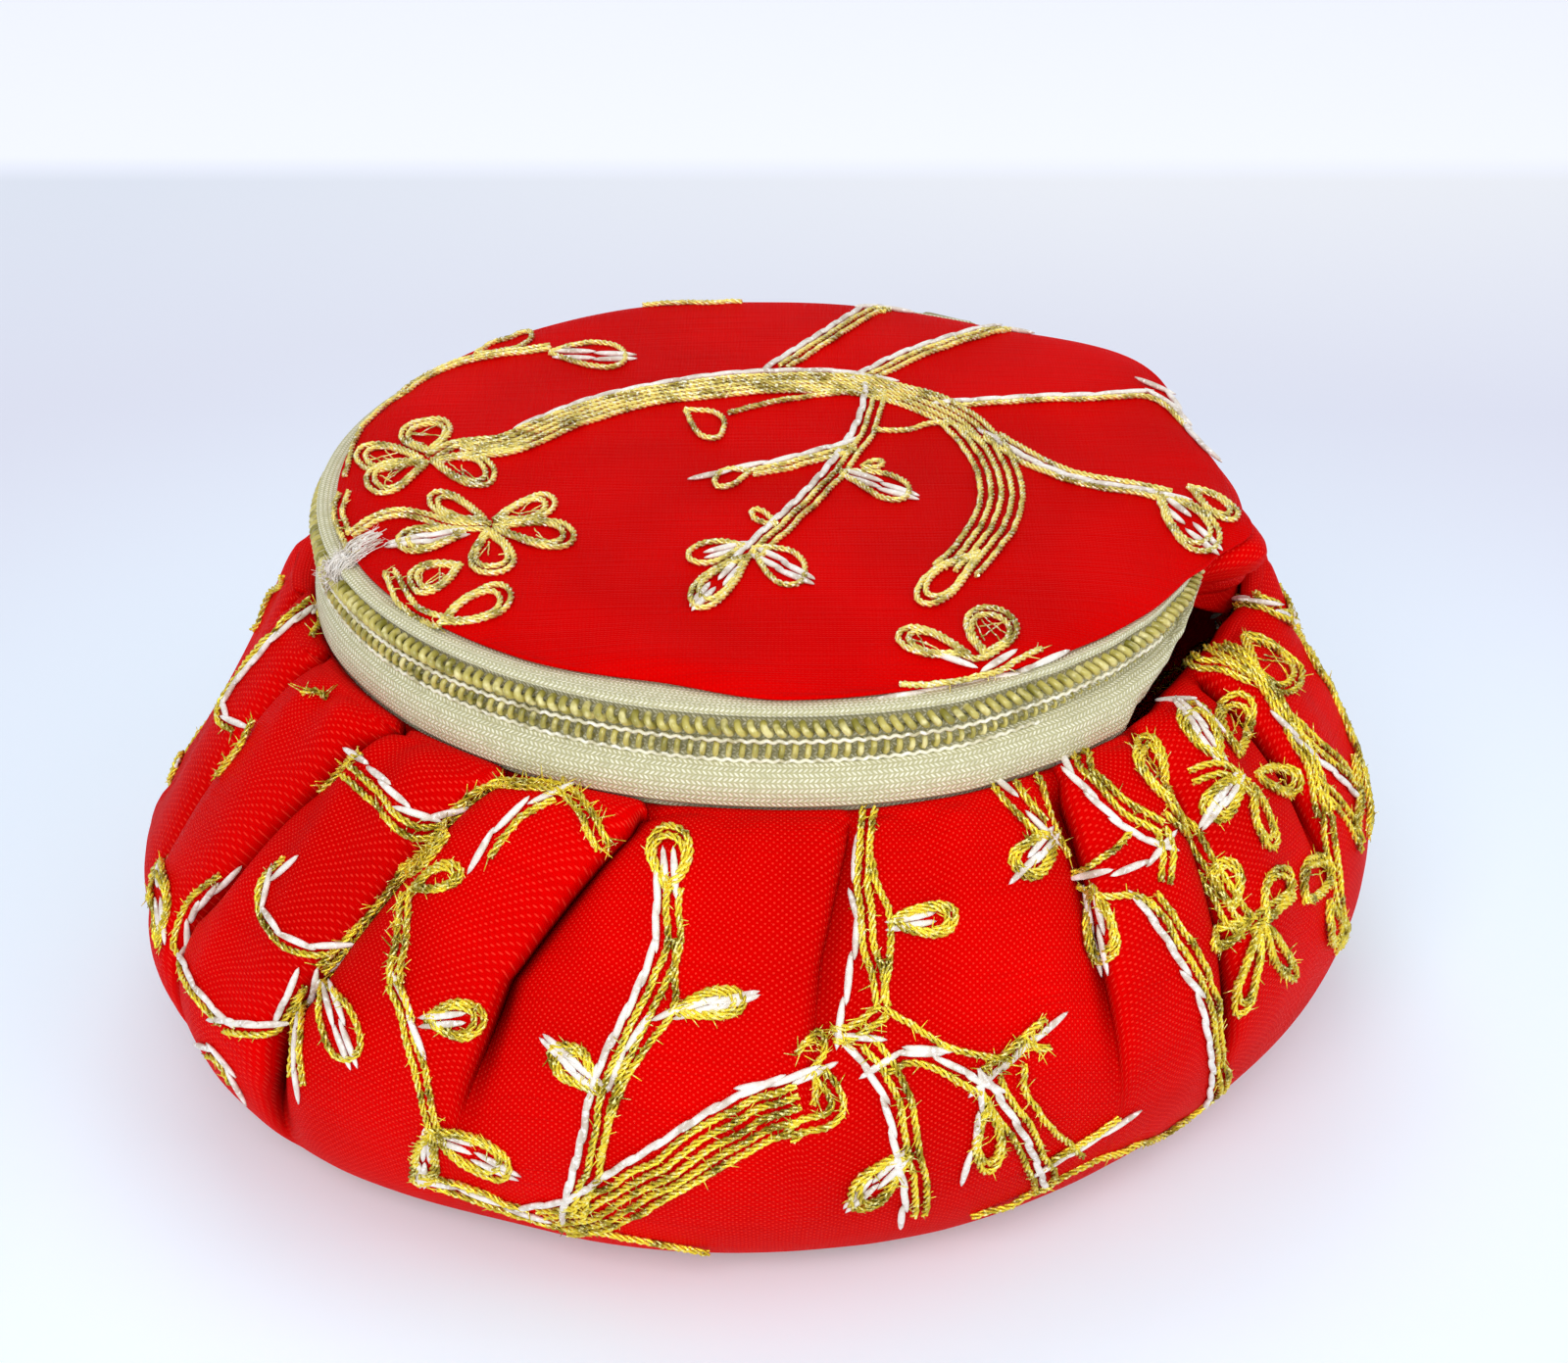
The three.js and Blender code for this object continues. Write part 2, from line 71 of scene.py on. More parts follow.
body = {
    "radius": 70 * mm,
    "foot": 54 * mm,
    "belly": 22 * mm,
    "neck": tapeFoot + 4.4 * mm,
    "zip": 50.5 * mm,
    "lean": 0.8 * mm,
    "padding": 3.4 * mm,
    "rim": 2.2 * mm,
    "rimTurn": 5 * mm,
    "hem": 3 * mm,
    "fold": 3.4 * mm,
    "slip": 2.6 * mm,
    "gap": 0.3 * mm,
    "right": 2.2 * mm,  # the neck's axis stands this far to the right of the base's
    "back": 0.4 * mm,
    "bellyRound": 0.1,  # share of the way down over which the widest part is rounded
    "roundSpots": 7,
    "slopeStep": 0.01,
    "panelColumns": 36,
    "rows": 112,
    "rimRows": 6,
    "crowding": 0.0135,  # columns stand closer together beside the creases by this share
    "ripple": 0.55 * mm,
    "ripples": 60,
    "rippleStart": 0.05,  # fine ripples begin this far down from the neck
    "rippleRun": 0.22,  # and fade away over this share
    "sag": 0.5 * mm,
    "innerDown": (0.9, 0.78, 0.64, 0.52, 0.4, 0.28, 0.18),  # rows of the lining, from the hem up
    "innerFollow": 0.4,  # the lining follows this share of each fold
    "mapScale": 0.9,  # the weave's map is laid out at this share of the radius
    # The dark of a crease is painted shade, mixed into the cloth's colour through the crease attribute
    "shade": 2.2 * mm,  # how far the dark of a crease reaches over the cloth below it
}


def table(names, rows):
    return {name: np.array(column, float) for name, column in zip(names.split(), zip(*rows))}


# Outline by azimuth, in shares of the sizes above; shoulder and under are the curve's fullness
bodyShape = table("azimuth reach belly shoulder under foot", [
    (-170, 1.015, 0.91, 0.92, 2.3, 1.0),
    (-140, 1.03, 0.86, 1.15, 2.5, 1.02),
    (-110, 1.005, 0.95, 1.45, 1.9, 1.01),
    (-80, 0.995, 1.05, 1.5, 1.85, 1.01),
    (-50, 0.98, 1.04, 1.55, 1.87, 0.99),
    (-20, 0.99, 1.1, 1.3, 1.95, 1.02),
    (15, 0.975, 0.96, 0.72, 1.9, 1.0),
    (45, 0.98, 0.93, 0.72, 2.0, 1.02),
    (90, 0.99, 1.0, 1.0, 2.0, 1.02),
    (140, 0.98, 0.88, 0.72, 2.0, 1.02),
])

neckSlack = table("azimuth slack", [
    (-150, 0), (-72, 0), (-59, -0.018), (-50, -0.028), (-42, -0.042), (-35, -0.066), (-28, -0.07),
    (-18, -0.055), (-8, -0.02), (6, 0),
])

# Pleats: azimuths at the neck and where they fade, how far down they run, depth and lean
pleats = table("neck hem reach depth lean", [
    (-173, -176, 0.42, 0.7, 1),
    (-157.8, -163, 0.54, 1.8, 1),
    (-138, -152.8, 0.74, 1.95, 1),
    (-122, -136.6, 0.8, 1.7, 1),
    (-105, -115.2, 0.58, 1.2, 1),
    (-83, -86, 0.5, 0.4, 1),
    (-59, -58.5, 0.6, 0.75, -1),
    (-46, -44.5, 0.7, 1.15, -1),
    (-30, -27, 0.5, 0.8, -1),
    (-8, -6, 0.55, 0.6, 1),
    (15, 13, 0.5, 0.6, 1),
    (39, 37, 0.6, 0.7, 1),
    (62, 64, 0.5, 0.7, -1),
    (84, 86, 0.6, 0.9, -1),
    (106, 110, 0.52, 0.75, -1),
    (127, 132, 0.6, 0.9, -1),
    (148, 150, 0.5, 0.8, 1),
    (167, 166, 0.56, 0.75, 1),
])
neckPress = 0.4  # a fold keeps this share of its depth at the neck
foldRise = 0.1  # and comes to its full depth this far down
# A flap's dark lip is painted shade
lipShare = 0.03  # a flap's lip is dark over this share of the panel, and fades over as much again
lipOverhang = 0.8  # it hangs over the cloth below by this share of its slip
slipLimit = 1.15  # a fold that is deeper than this slips no further
foldHold = 0.4  # a fold keeps its full depth this share of the way down its reach
creaseRun = 0.5  # a crease reaches its hem azimuth this share of the way down its reach

# Section of a pleat from its crease to the middle of the panel
foldSection = table("across foot flap slip", [
    (0, -1, -1, 0),
    (0.018, -0.96, -0.85, 0.7),
    (0.04, -0.86, -0.25, 1.05),
    (0.07, -0.66, 0.16, 1.0),
    (0.12, -0.3, 0.36, 0.72),
    (0.2, 0.08, 0.43, 0.38),
    (0.32, 0.32, 0.45, 0.1),
    (0.5, 0.43, 0.43, 0),
])

lid = {
    "radius": 49 * mm,
    "thickness": 1.4 * mm,
    "edge": 0.5 * mm,
    "crown": 1.2 * mm,
    "columns": 360,
    "rings": 56,
    "edgeTurns": (20, 160),  # degrees over which the edge is rounded
    "underRings": (0.97, 0.9, 0.75, 0.5, 0.2),
    "waves": 0.22 * mm,
}

lidOutline = table("azimuth reach", [
    (-175, 0.985), (-150, 0.992), (-122, 0.985), (-105, 0.962), (-90, 1.0), (-72, 0.992),
    (-50, 0.984), (-40, 0.982), (-31, 0.976), (-24, 0.995), (-15, 1.045), (-4, 0.985),
    (13, 0.962), (38, 1.065), (60, 0.985), (90, 1.0), (112, 1.03), (132, 1.02), (156, 0.995),
])

lidDome = table("share crown", [
    (0, 1), (0.35, 0.9), (0.7, 0.52), (0.9, 0.08), (0.96, -0.22), (1, -0.75),
])

zipPull = table("azimuth pull", [
    (-72, 0), (-59, 0.02), (-50, 0.03), (-42, 0.04), (-32, 0.055), (-24, 0.065), (-15, 0.07),
    (0, 0.07), (55, 0),
])

hinge = {
    "thickness": 1.5 * mm,
    "sourceThickness": 1.6 * mm,
    "start": -18,
    "end": 62,
    "tuck": 9,  # degrees that the cloth runs on behind the ends of the tapes
    "tuckRise": 0.74,
    "tuckDrop": 1.0 * mm,
    "columns": 170,
    "rows": 44,
    "waves": 0.35 * mm,
}

# The hinge cloth's middle line: out in its own thicknesses, share of the lid's outline, rise
hingeFold = table("out lid rise", [
    (-4.5, 1, 1.0), (-0.5, 1, 1.0), (0.75, 1, 0.91), (0.65, 1, 0.78), (-0.75, 0.8, 0.68),
    (-0.4, 0.4, 0.55), (0.1, 0, 0.45), (-0.5, 0, 0.33), (-0.5, 0, 0.0),
])


def lerp(low, high, share):
    return low + (high - low) * share


def ease(share):
    held = np.clip(share, 0, 1)
    return held * held * (3 - 2 * held)


# A table's column read round the full circle, eased from row to row
def around(rows, column, azimuth):
    first = rows["azimuth"][0]
    turned = first + np.mod(np.asarray(azimuth, float) - first, 360)
    here = np.searchsorted(rows["azimuth"], turned, side="right") - 1
    after = (here + 1) % len(rows["azimuth"])
    span = np.mod(rows["azimuth"][after] - rows["azimuth"][here], 360)
    share = ease((turned - rows["azimuth"][here]) / span)
    return lerp(rows[column][here], rows[column][after], share)


# A smooth curve through a table's rows that never overshoots them
def along(rows, key, column, value):
    x = rows[key]
    y = rows[column]
    step = np.diff(x)
    slope = np.diff(y) / step
    tangent = np.zeros(len(x))
    same = slope[:-1] * slope[1:] > 0
    tangent[1:-1][same] = 2 / (1 / slope[:-1][same] + 1 / slope[1:][same])
    tangent[0] = slope[0]
    tangent[-1] = slope[-1]
    here = np.clip(np.searchsorted(x, value, side="right") - 1, 0, len(step) - 1)
    t = (value - x[here]) / step[here]
    low = y[here] * (1 + 2 * t) * (1 - t) ** 2 + y[here + 1] * t * t * (3 - 2 * t)
    return low + step[here] * t * (1 - t) * (tangent[here] * (1 - t) - tangent[here + 1] * t)


# A seeded sum of waves over two coordinates, mostly within 1.5 either way
def softWaves(u, v, scaleU, scaleV, seed, count=9):
    draw = np.random.default_rng(seed)
    total = 0
    for _ in range(count):
        turn = draw.uniform(0, tau)
        total = total + np.sin(
            u * scaleU * math.cos(turn) + v * scaleV * math.sin(turn) + draw.uniform(0, tau)
        )
    return total / math.sqrt(count)


# A point at a radius, azimuth and height, about the neck's axis at 1 and the base's at 0
def polar(radius, azimuth, height, towardsNeck=1.0):
    angle = np.radians(azimuth)
    x = body["right"] * towardsNeck + radius * np.cos(angle)
    y = body["back"] * towardsNeck + radius * np.sin(angle)
    return np.stack(np.broadcast_arrays(x, y, height), -1)


def neckRadius(azimuth):
    return (body["zip"] + body["lean"]) * (1 + around(neckSlack, "slack", azimuth))


def rimRadius(azimuth):
    return neckRadius(azimuth) + body["gap"]


def zipOutline(azimuth):
    return body["zip"] * (1 - around(zipPull, "pull", azimuth))


# Radius, height and outward direction of the smooth body, a share of the way down its side
def bodyProfile(azimuth, down):
    widest = body["radius"] * around(bodyShape, "reach", azimuth)
    belly = body["belly"] * around(bodyShape, "belly", azimuth)
    shoulder = 2 / around(bodyShape, "shoulder", azimuth)
    under = 2 / around(bodyShape, "under", azimuth)
    foot = body["foot"] * around(bodyShape, "foot", azimuth)
    neck = rimRadius(azimuth) + body["rim"]

    def outline(share):
        turn = np.clip(share, 0, 1) * math.pi
        upper = turn < math.pi / 2
        inner = np.where(upper, neck, foot)
        power = np.where(upper, shoulder, under)
        tall = np.where(upper, body["neck"] - belly, body["gap"] - belly)
        radius = inner + (widest - inner) * np.abs(np.sin(turn)) ** power
        return radius, belly + tall * np.abs(np.cos(turn)) ** power

    def place(share):  # the outline averaged a little way up and down, which rounds the belly
        reach = body["bellyRound"] * np.sin(np.clip(share, 0, 1) * math.pi)
        spots = [outline(share + reach * offset) for offset in np.linspace(-1, 1, body["roundSpots"])]
        radii, heights = zip(*spots)
        return sum(radii) / len(spots), sum(heights) / len(spots)

    radius, height = place(down)
    before = place(down - body["slopeStep"])
    after = place(down + body["slopeStep"])
    slope = np.hypot(after[0] - before[0], after[1] - before[1])
    return radius, height, (before[1] - after[1]) / slope, (after[0] - before[0]) / slope


def foldStrength(pleat, down):
    pressed = lerp(neckPress, 1, ease(down / foldRise))
    fading = (down / pleats["reach"][pleat] - foldHold) / (1 - foldHold)
    return pleats["depth"][pleat] * pressed * (1 - ease(fading))


# Azimuth, lift, slip and painted crease shade of the gathered cloth across the panel that follows a pleat
def gathered(panel, across, down):
    following = (panel + 1) % len(pleats["neck"])

    def crease(pleat):
        share = np.clip(down / pleats["reach"][pleat] / creaseRun, 0, 1)
        return lerp(pleats["neck"][pleat], pleats["hem"][pleat], share)

    first = crease(panel)
    width = np.mod(crease(following) - first, 360)
    nearStart = across < 0.5
    fromCrease = np.where(nearStart, across, 1 - across)
    lean = np.where(nearStart, pleats["lean"][panel], pleats["lean"][following])
    hangs = np.where(nearStart, lean < 0, lean > 0)
    starting = foldStrength(panel, down)
    ending = foldStrength(following, down)
    strength = np.where(nearStart, starting, ending)
    flap = along(foldSection, "across", "flap", fromCrease)
    foot = along(foldSection, "across", "foot", fromCrease)
    slip = along(foldSection, "across", "slip", fromCrease)
    blended = lerp(strength, (starting + ending) / 2, fromCrease * 2)
    lift = np.where(hangs, flap, foot) * blended * body["fold"]
    slipDepth = np.minimum(strength, slipLimit)
    slipped = np.where(hangs, slip * lean, 0) * slipDepth * body["slip"]
    fromFold = fromCrease * np.radians(width) * body["radius"] - lipOverhang * slipDepth * body["slip"]
    onLip = (fromCrease - lipShare) / lipShare
    # Painted shade: dark on a flap's lip and on the cloth beside the crease below it
    shade = np.where(hangs, 1 - ease(onLip), 1 - ease(fromFold / body["shade"]))
    return first + width * across, lift, slipped, shade * np.clip(strength, 0, 1)


# A mesh from a grid of points, closed along its rows or its columns or both, with its own map
def gridMesh(name, points, corners, closedRows, closedColumns, poles=()):
    rows, columns = points.shape[:2]
    row = np.arange(rows if closedRows else rows - 1)
    column = np.arange(columns if closedColumns else columns - 1)
    row, column = np.meshgrid(row, column, indexing="ij")
    below = (row + 1) % rows
    beside = (column + 1) % columns
    quads = np.stack([
        row * columns + column, below * columns + column,
        below * columns + beside, row * columns + beside,
    ], -1).reshape(-1, 4)
    maps = np.stack([
        corners[row, column], corners[row + 1, column],
        corners[row + 1, column + 1], corners[row, column + 1],
    ], -2).reshape(-1, 2)
    vertices = points.reshape(-1, 3)
    faces = quads.tolist()
    for pole, edge in zip(poles, (0, rows - 1)):
        vertices = np.vstack([vertices, pole])
        top = len(vertices) - 1
        for side in range(columns):
            here = edge * columns + side
            there = edge * columns + (side + 1) % columns
            faces.append([top, here, there] if edge == 0 else [top, there, here])
            near = corners[edge, side]
            far = corners[edge, side + 1]
            middle = np.asarray(pole)[:2]
            maps = np.vstack([maps, [middle, near, far] if edge == 0 else [middle, far, near]])
    mesh = bpy.data.meshes.new(name)
    mesh.from_pydata(vertices.tolist(), [], faces)
    layer = mesh.uv_layers.new(name="cloth")
    layer.data.foreach_set("uv", maps.astype(np.float32).ravel())
    mesh.shade_smooth()
    return mesh


def showPiece(name, mesh, material):
    if material is not None:
        mesh.materials.clear()
        mesh.materials.append(material)
    piece = bpy.data.objects.new(name, mesh)
    bpy.context.scene.collection.objects.link(piece)
    return piece


# Running length down the rows of a grid, for a map that keeps its scale
def runDown(points):
    steps = np.linalg.norm(np.diff(points, axis=0), axis=-1)
    return np.vstack([np.zeros((1, points.shape[1])), np.cumsum(steps, axis=0)])


# Makes nodes in one tree; sockets are given in their order or by name, as values, nodes or sockets
def nodeMaker(tree):
    def make(kind, settings=None, *values, **links):
        node = tree.nodes.new(kind)
        for name, value in (settings or {}).items():
            setattr(node, name, value)
        for key, value in [*enumerate(values), *links.items()]:
            socket = node.inputs[key.replace("_", " ") if isinstance(key, str) else key]
            if isinstance(value, bpy.types.NodeSocket):
                tree.links.new(value, socket)
            elif isinstance(value, bpy.types.Node):
                tree.links.new(value.outputs[0], socket)
            else:
                socket.default_value = value
        return node

    return make


def reckon(make, operation, *values):
    return make("ShaderNodeMath", {"operation": operation}, *values)


def reckonVector(make, operation, *values, **links):
    return make("ShaderNodeVectorMath", {"operation": operation}, *values, **links)


def ramp(make, value, low, high, **others):
    return make("ShaderNodeMapRange", Value=value, From_Min=low, From_Max=high, **others)


def addSockets(tree, inputs, outputs):
    for direction, sockets in (("INPUT", inputs), ("OUTPUT", outputs)):
        for name, kind, value in sockets:
            socket = tree.interface.new_socket(name, in_out=direction, socket_type="NodeSocket" + kind)
            if value is not None:
                socket.default_value = value


def numberSockets(inputs):
    return [(name, "Int" if isinstance(value, int) else "Float", value) for name, value in inputs.items()]


# A shader group that reads a place and its own inputs, and gives out numbers
def startGroup(name, inputs, outputs):
    group = bpy.data.node_groups.new(name, "ShaderNodeTree")
    outcomes = [(output, "Float", None) for output in outputs]
    addSockets(group, [("Vector", "Vector", None), *numberSockets(inputs)], outcomes)
    make = nodeMaker(group)
    return group, make, make("NodeGroupInput")


def endGroup(group, **outcomes):
    nodeMaker(group)("NodeGroupOutput", **outcomes)
    return group


# Woven cloth: a height for each crossing of the threads, a mask of the raised ones, and slubs
def makeWeaveGroup():
    group, make, entry = startGroup(
        "Woven Cloth", {"Thread Pitch": 0.42 * mm, "Slub": 0.5},
        ("Height", "Raised", "Slubs"),
    )
    drift = make("ShaderNodeTexNoise", Vector=entry.outputs["Vector"], Scale=160.0, Detail=2.0)
    wander = (0.5 * mm,) * 3
    moved = reckonVector(make, "MULTIPLY_ADD", drift.outputs["Color"], wander, entry.outputs["Vector"])
    frequency = reckon(make, "DIVIDE", math.pi, entry.outputs["Thread Pitch"])
    scaled = reckonVector(make, "SCALE", moved, Scale=frequency)
    split = make("ShaderNodeSeparateXYZ", Vector=scaled)
    warp = reckon(make, "SINE", split.outputs[0])
    weft = reckon(make, "SINE", split.outputs[1])
    crossing = reckon(make, "MULTIPLY", warp, weft)
    height = reckon(make, "ABSOLUTE", crossing)
    raised = ramp(make, crossing, 0.45, 0.95)
    stretch = reckonVector(make, "MULTIPLY", entry.outputs["Vector"], (60.0, 1900.0, 1.0))
    streaks = make("ShaderNodeTexNoise", Vector=stretch, Scale=1.0, Detail=1.0)
    slubs = ramp(make, streaks.outputs["Fac"], 0.42, 0.72)
    weighted = reckon(make, "MULTIPLY", slubs, entry.outputs["Slub"])
    return endGroup(group, Height=height, Raised=raised, Slubs=weighted)


# Knitted tape: rows of small slanted stitches that lean one way and then the other; their raised tops are
# painted bright and the rest darker, as painted highlight and shade
def makeKnitGroup():
    group, make, entry = startGroup("Knitted Tape", {"Stitch Pitch": 0.55 * mm}, ("Height", "Bright"))
    frequency = reckon(make, "DIVIDE", 1.0, entry.outputs["Stitch Pitch"])
    scaled = reckonVector(make, "SCALE", entry.outputs["Vector"], Scale=frequency)
    split = make("ShaderNodeSeparateXYZ", Vector=scaled)
    zigzag = reckon(make, "PINGPONG", split.outputs[1], 1.0)
    slanted = reckon(make, "MULTIPLY_ADD", zigzag, 0.8, split.outputs[0])
    rows = reckon(make, "MULTIPLY", slanted, tau)
    wave = reckon(make, "SINE", rows)
    ribs = reckon(make, "MULTIPLY", split.outputs[1], math.pi)
    rib = reckon(make, "SINE", ribs)
    ribHeight = reckon(make, "ABSOLUTE", rib)
    joined = reckon(make, "MULTIPLY_ADD", wave, 0.5, 0.5)
    height = reckon(make, "MULTIPLY", joined, ribHeight)
    patches = make("ShaderNodeTexNoise", Vector=entry.outputs["Vector"], Scale=900.0, Detail=2.0)
    patchy = ramp(make, patches.outputs["Fac"], 0.3, 0.6, To_Min=0.45)
    crisp = ramp(make, height, 0.18, 0.62)
    bright = reckon(make, "MULTIPLY", crisp, patchy)
    return endGroup(group, Height=height, Bright=bright)


# A thread's fine lay: short glints and darker patches scattered along it
def makeGlintGroup():
    group, make, entry = startGroup("Thread Glint", {"Grain": 2600.0}, ("Glint", "Shade", "Height"))
    place = entry.outputs["Vector"]
    fine = make("ShaderNodeTexNoise", Vector=place, Scale=entry.outputs["Grain"], Detail=2.0)
    broad = make("ShaderNodeTexNoise", Vector=place, Scale=420.0, Detail=2.0)
    glint = ramp(make, fine.outputs["Fac"], 0.52, 0.68)
    shade = ramp(make, broad.outputs["Fac"], 0.44, 0.66)
    return endGroup(group, Glint=glint, Shade=shade, Height=fine.outputs["Fac"])


weaveGroup = makeWeaveGroup()
knitGroup = makeKnitGroup()
glintGroup = makeGlintGroup()


# A material with its shader, ready for the nodes that feed it
def startMaterial(name, values):
    material = bpy.data.materials.new(name)
    material.use_nodes = True
    shader = material.node_tree.nodes["Principled BSDF"]
    for socket, value in values.items():
        shader.inputs[socket].default_value = value
    return material, shader, nodeMaker(material.node_tree), material.node_tree.links.new


def mixColour(make, share, low, high):
    mixed = make("ShaderNodeMix", {"data_type": "RGBA"})
    mixed.id_data.links.new(share, mixed.inputs[0])
    for socket, colour in ((mixed.inputs[6], low), (mixed.inputs[7], high)):
        if isinstance(colour, tuple):
            socket.default_value = (*colour, 1)
        else:
            mixed.id_data.links.new(colour, socket)
    return mixed.outputs[2]


redCloth = {
    # The lid's reds are painted darker than the body's and show fewer bright threads: painted shade on the
    # lid, which is the same cloth as the body
    "ground": (0.78, 0.0, 0.0),
    "deep": (0.60, 0.0, 0.0),
    "lidShadedGround": (0.70, 0.0, 0.0),
    "lidShadedDeep": (0.56, 0.0, 0.0),
    # thread: the raised threads' bright red, partly the weave's own and partly painted highlight
    "thread": (1.0, 0.055, 0.03),
    # crease: a near-black red painted into the creases as shade
    "crease": (0.05, 0.0, 0.0),
    "pitch": 0.36 * mm,
    "slub": 1.0,
    "relief": 0.12 * mm,
    "lidThreadHighlights": 0.06,  # how much of the bright thread colour shows
    "bodyThreadHighlights": 0.62,
    "patches": 38.0,
    "slubShade": 0.3,
    "slubRise": 0.8,
    # how strongly the painted crease shade darkens the red
    "paintedCreaseShadeShare": 0.9,
}


def makeRedCloth(name, threadHighlightShare, groundColour, deepColour):
    material, shader, make, link = startMaterial(name, {
        "Roughness": 0.6, "Specular IOR Level": 0.03, "Specular Tint": (1.0, 0.2, 0.15, 1),
    })
    place = make("ShaderNodeUVMap", {"uv_map": "cloth"})
    weave = make("ShaderNodeGroup", {"node_tree": weaveGroup},
                 Vector=place, Thread_Pitch=redCloth["pitch"], Slub=redCloth["slub"])
    where = make("ShaderNodeTexCoord").outputs["Object"]
    broad = make("ShaderNodeTexNoise", Vector=where, Scale=redCloth["patches"], Detail=2.0)
    patch = ramp(make, broad.outputs["Fac"], 0.35, 0.65)
    ground = mixColour(make, patch.outputs[0], groundColour, deepColour)
    # Raised threads get the bright red: partly the weave, partly painted highlight
    lit = reckon(make, "MULTIPLY", weave.outputs["Raised"], threadHighlightShare)
    threaded = mixColour(make, lit.outputs[0], ground, redCloth["thread"])
    dark = reckon(make, "MULTIPLY", weave.outputs["Slubs"], redCloth["slubShade"])
    slubbed = mixColour(make, dark.outputs[0], threaded, deepColour)
    # The crease attribute paints shade into the creases
    crease = make("ShaderNodeAttribute", {"attribute_name": "crease"}).outputs["Fac"]
    paintedCreaseShade = reckon(make, "MULTIPLY", crease, redCloth["paintedCreaseShadeShare"])
    link(mixColour(make, paintedCreaseShade.outputs[0], slubbed, redCloth["crease"]), shader.inputs["Base Color"])
    raised = reckon(make, "MULTIPLY_ADD", weave.outputs["Slubs"], redCloth["slubRise"],
                    weave.outputs["Height"])
    bump = make("ShaderNodeBump", Strength=0.55, Distance=redCloth["relief"], Height=raised)
    link(bump.outputs[0], shader.inputs["Normal"])
    return material


tape = {
    # ground is partly the tape's own colour and partly painted shade between the stitches; bright is
    # painted highlight on their tops
    "ground": (0.53, 0.50, 0.27),
    "bright": (1.0, 0.97, 0.74),
    "pitch": 0.5 * mm,
    "relief": 0.18 * mm,
    "thickness": 0.9 * mm,
    "columns": 320,
    "bulge": 1.5 * mm,
    "overhang": 0.15 * mm,
    "recess": 1.1 * mm,  # how far the two tapes draw back behind the coil
}

# How far the lower tape swells and hangs, by azimuth: at its right end it runs up under the lid
tapeShape = table("azimuth bulge drop close", [
    (-180, 0.3, 1, 1), (-150, 0.75, 1, 1), (-120, 1, 1, 1), (-58, 1, 1, 1), (-48, 0.9, 1, 1),
    (-43, 0.7, 0.42, 1), (-38, 0.5, 0.28, 1), (-32, 0.3, 0.16, 0.92), (-28, 0.2, 0.05, 0.75),
    (-21, 0.1, 0.02, 0.25), (-18, 0.1, 0.02, 0.2), (50, 0.4, 0.2, 1), (61, 0.6, 1, 1),
    (90, 1, 1, 1), (150, 0.7, 1, 1),
])


# Heights below the upper row of the coil, drawn up towards it where the zip closes under the hinge
def closed(height, azimuth):
    pivot = chainSplit + coil["upperMiddle"]
    return np.where(height < pivot, pivot - (pivot - height) * around(tapeShape, "close", azimuth), height)


def makeTapeCloth():
    material, shader, make, link = startMaterial("tape_cloth", {
        "Roughness": 0.78, "Specular IOR Level": 0.3, "Sheen Weight": 0.15,
    })
    place = make("ShaderNodeUVMap", {"uv_map": "cloth"})
    knit = make("ShaderNodeGroup", {"node_tree": knitGroup}, Vector=place, Stitch_Pitch=tape["pitch"])
    # Raised stitches painted bright, grooves darker: painted highlight and shade on the knit
    colour = mixColour(make, knit.outputs["Bright"], tape["ground"], tape["bright"])
    link(colour, shader.inputs["Base Color"])
    bump = make("ShaderNodeBump", Strength=0.7, Distance=tape["relief"], Height=knit.outputs["Height"])
    link(bump.outputs[0], shader.inputs["Normal"])
    return material


def makeThread(name, values, dark, middle, light, grain, relief):
    material, shader, make, link = startMaterial(name, values)
    where = make("ShaderNodeTexCoord").outputs["Object"]
    glint = make("ShaderNodeGroup", {"node_tree": glintGroup}, Vector=where, Grain=grain)
    shaded = mixColour(make, glint.outputs["Shade"], middle, dark)
    link(mixColour(make, glint.outputs["Glint"], shaded, light), shader.inputs["Base Color"])
    bump = make("ShaderNodeBump", Strength=0.6, Distance=relief, Height=glint.outputs["Height"])
    link(bump.outputs[0], shader.inputs["Normal"])
    return material


# The lid's copy is painted darker than the body's, as painted shade
lidRed = makeRedCloth("lid_red_cloth_shaded", redCloth["lidThreadHighlights"], redCloth["lidShadedGround"], redCloth["lidShadedDeep"])
bodyRed = makeRedCloth("body_red_cloth", redCloth["bodyThreadHighlights"], redCloth["ground"], redCloth["deep"])
tapeCloth = makeTapeCloth()
goldThread = makeThread(
    "gold_thread", {"Metallic": 0.5, "Roughness": 0.25, "Specular Tint": (1.0, 0.85, 0.35, 1)},
    (0.26, 0.18, 0.008), (0.94, 0.73, 0.045), (1.0, 0.97, 0.40), 2600.0, 0.12 * mm,
)
# The lid's gold is a paler copy of the body's gold: painted light where the lid catches the light
litLidGoldThread = makeThread(
    "lid_gold_thread_painted_lit", {"Metallic": 0.42, "Roughness": 0.27, "Specular Tint": (1.0, 0.9, 0.6, 1)},
    (0.32, 0.235, 0.03), (0.96, 0.79, 0.2), (1.0, 0.99, 0.74), 2600.0, 0.10 * mm,
)
whiteThread = makeThread(
    "white_thread", {"Roughness": 0.42, "Sheen Weight": 0.2},
    (0.56, 0.45, 0.34), (0.86, 0.80, 0.71), (0.98, 0.95, 0.90), 2100.0, 0.1 * mm,
)
creamThread = makeThread(
    "cream_thread", {"Roughness": 0.5},
    (0.50, 0.45, 0.24), (0.88, 0.84, 0.62), (1.0, 0.98, 0.85), 1500.0, 0.06 * mm,
)
coilNylon = makeThread(
    "coil_nylon", {"Roughness": 0.3, "Coat Weight": 0.3},
    (0.26, 0.23, 0.03), (0.56, 0.48, 0.11), (0.82, 0.74, 0.32), 700.0, 0.05 * mm,
)
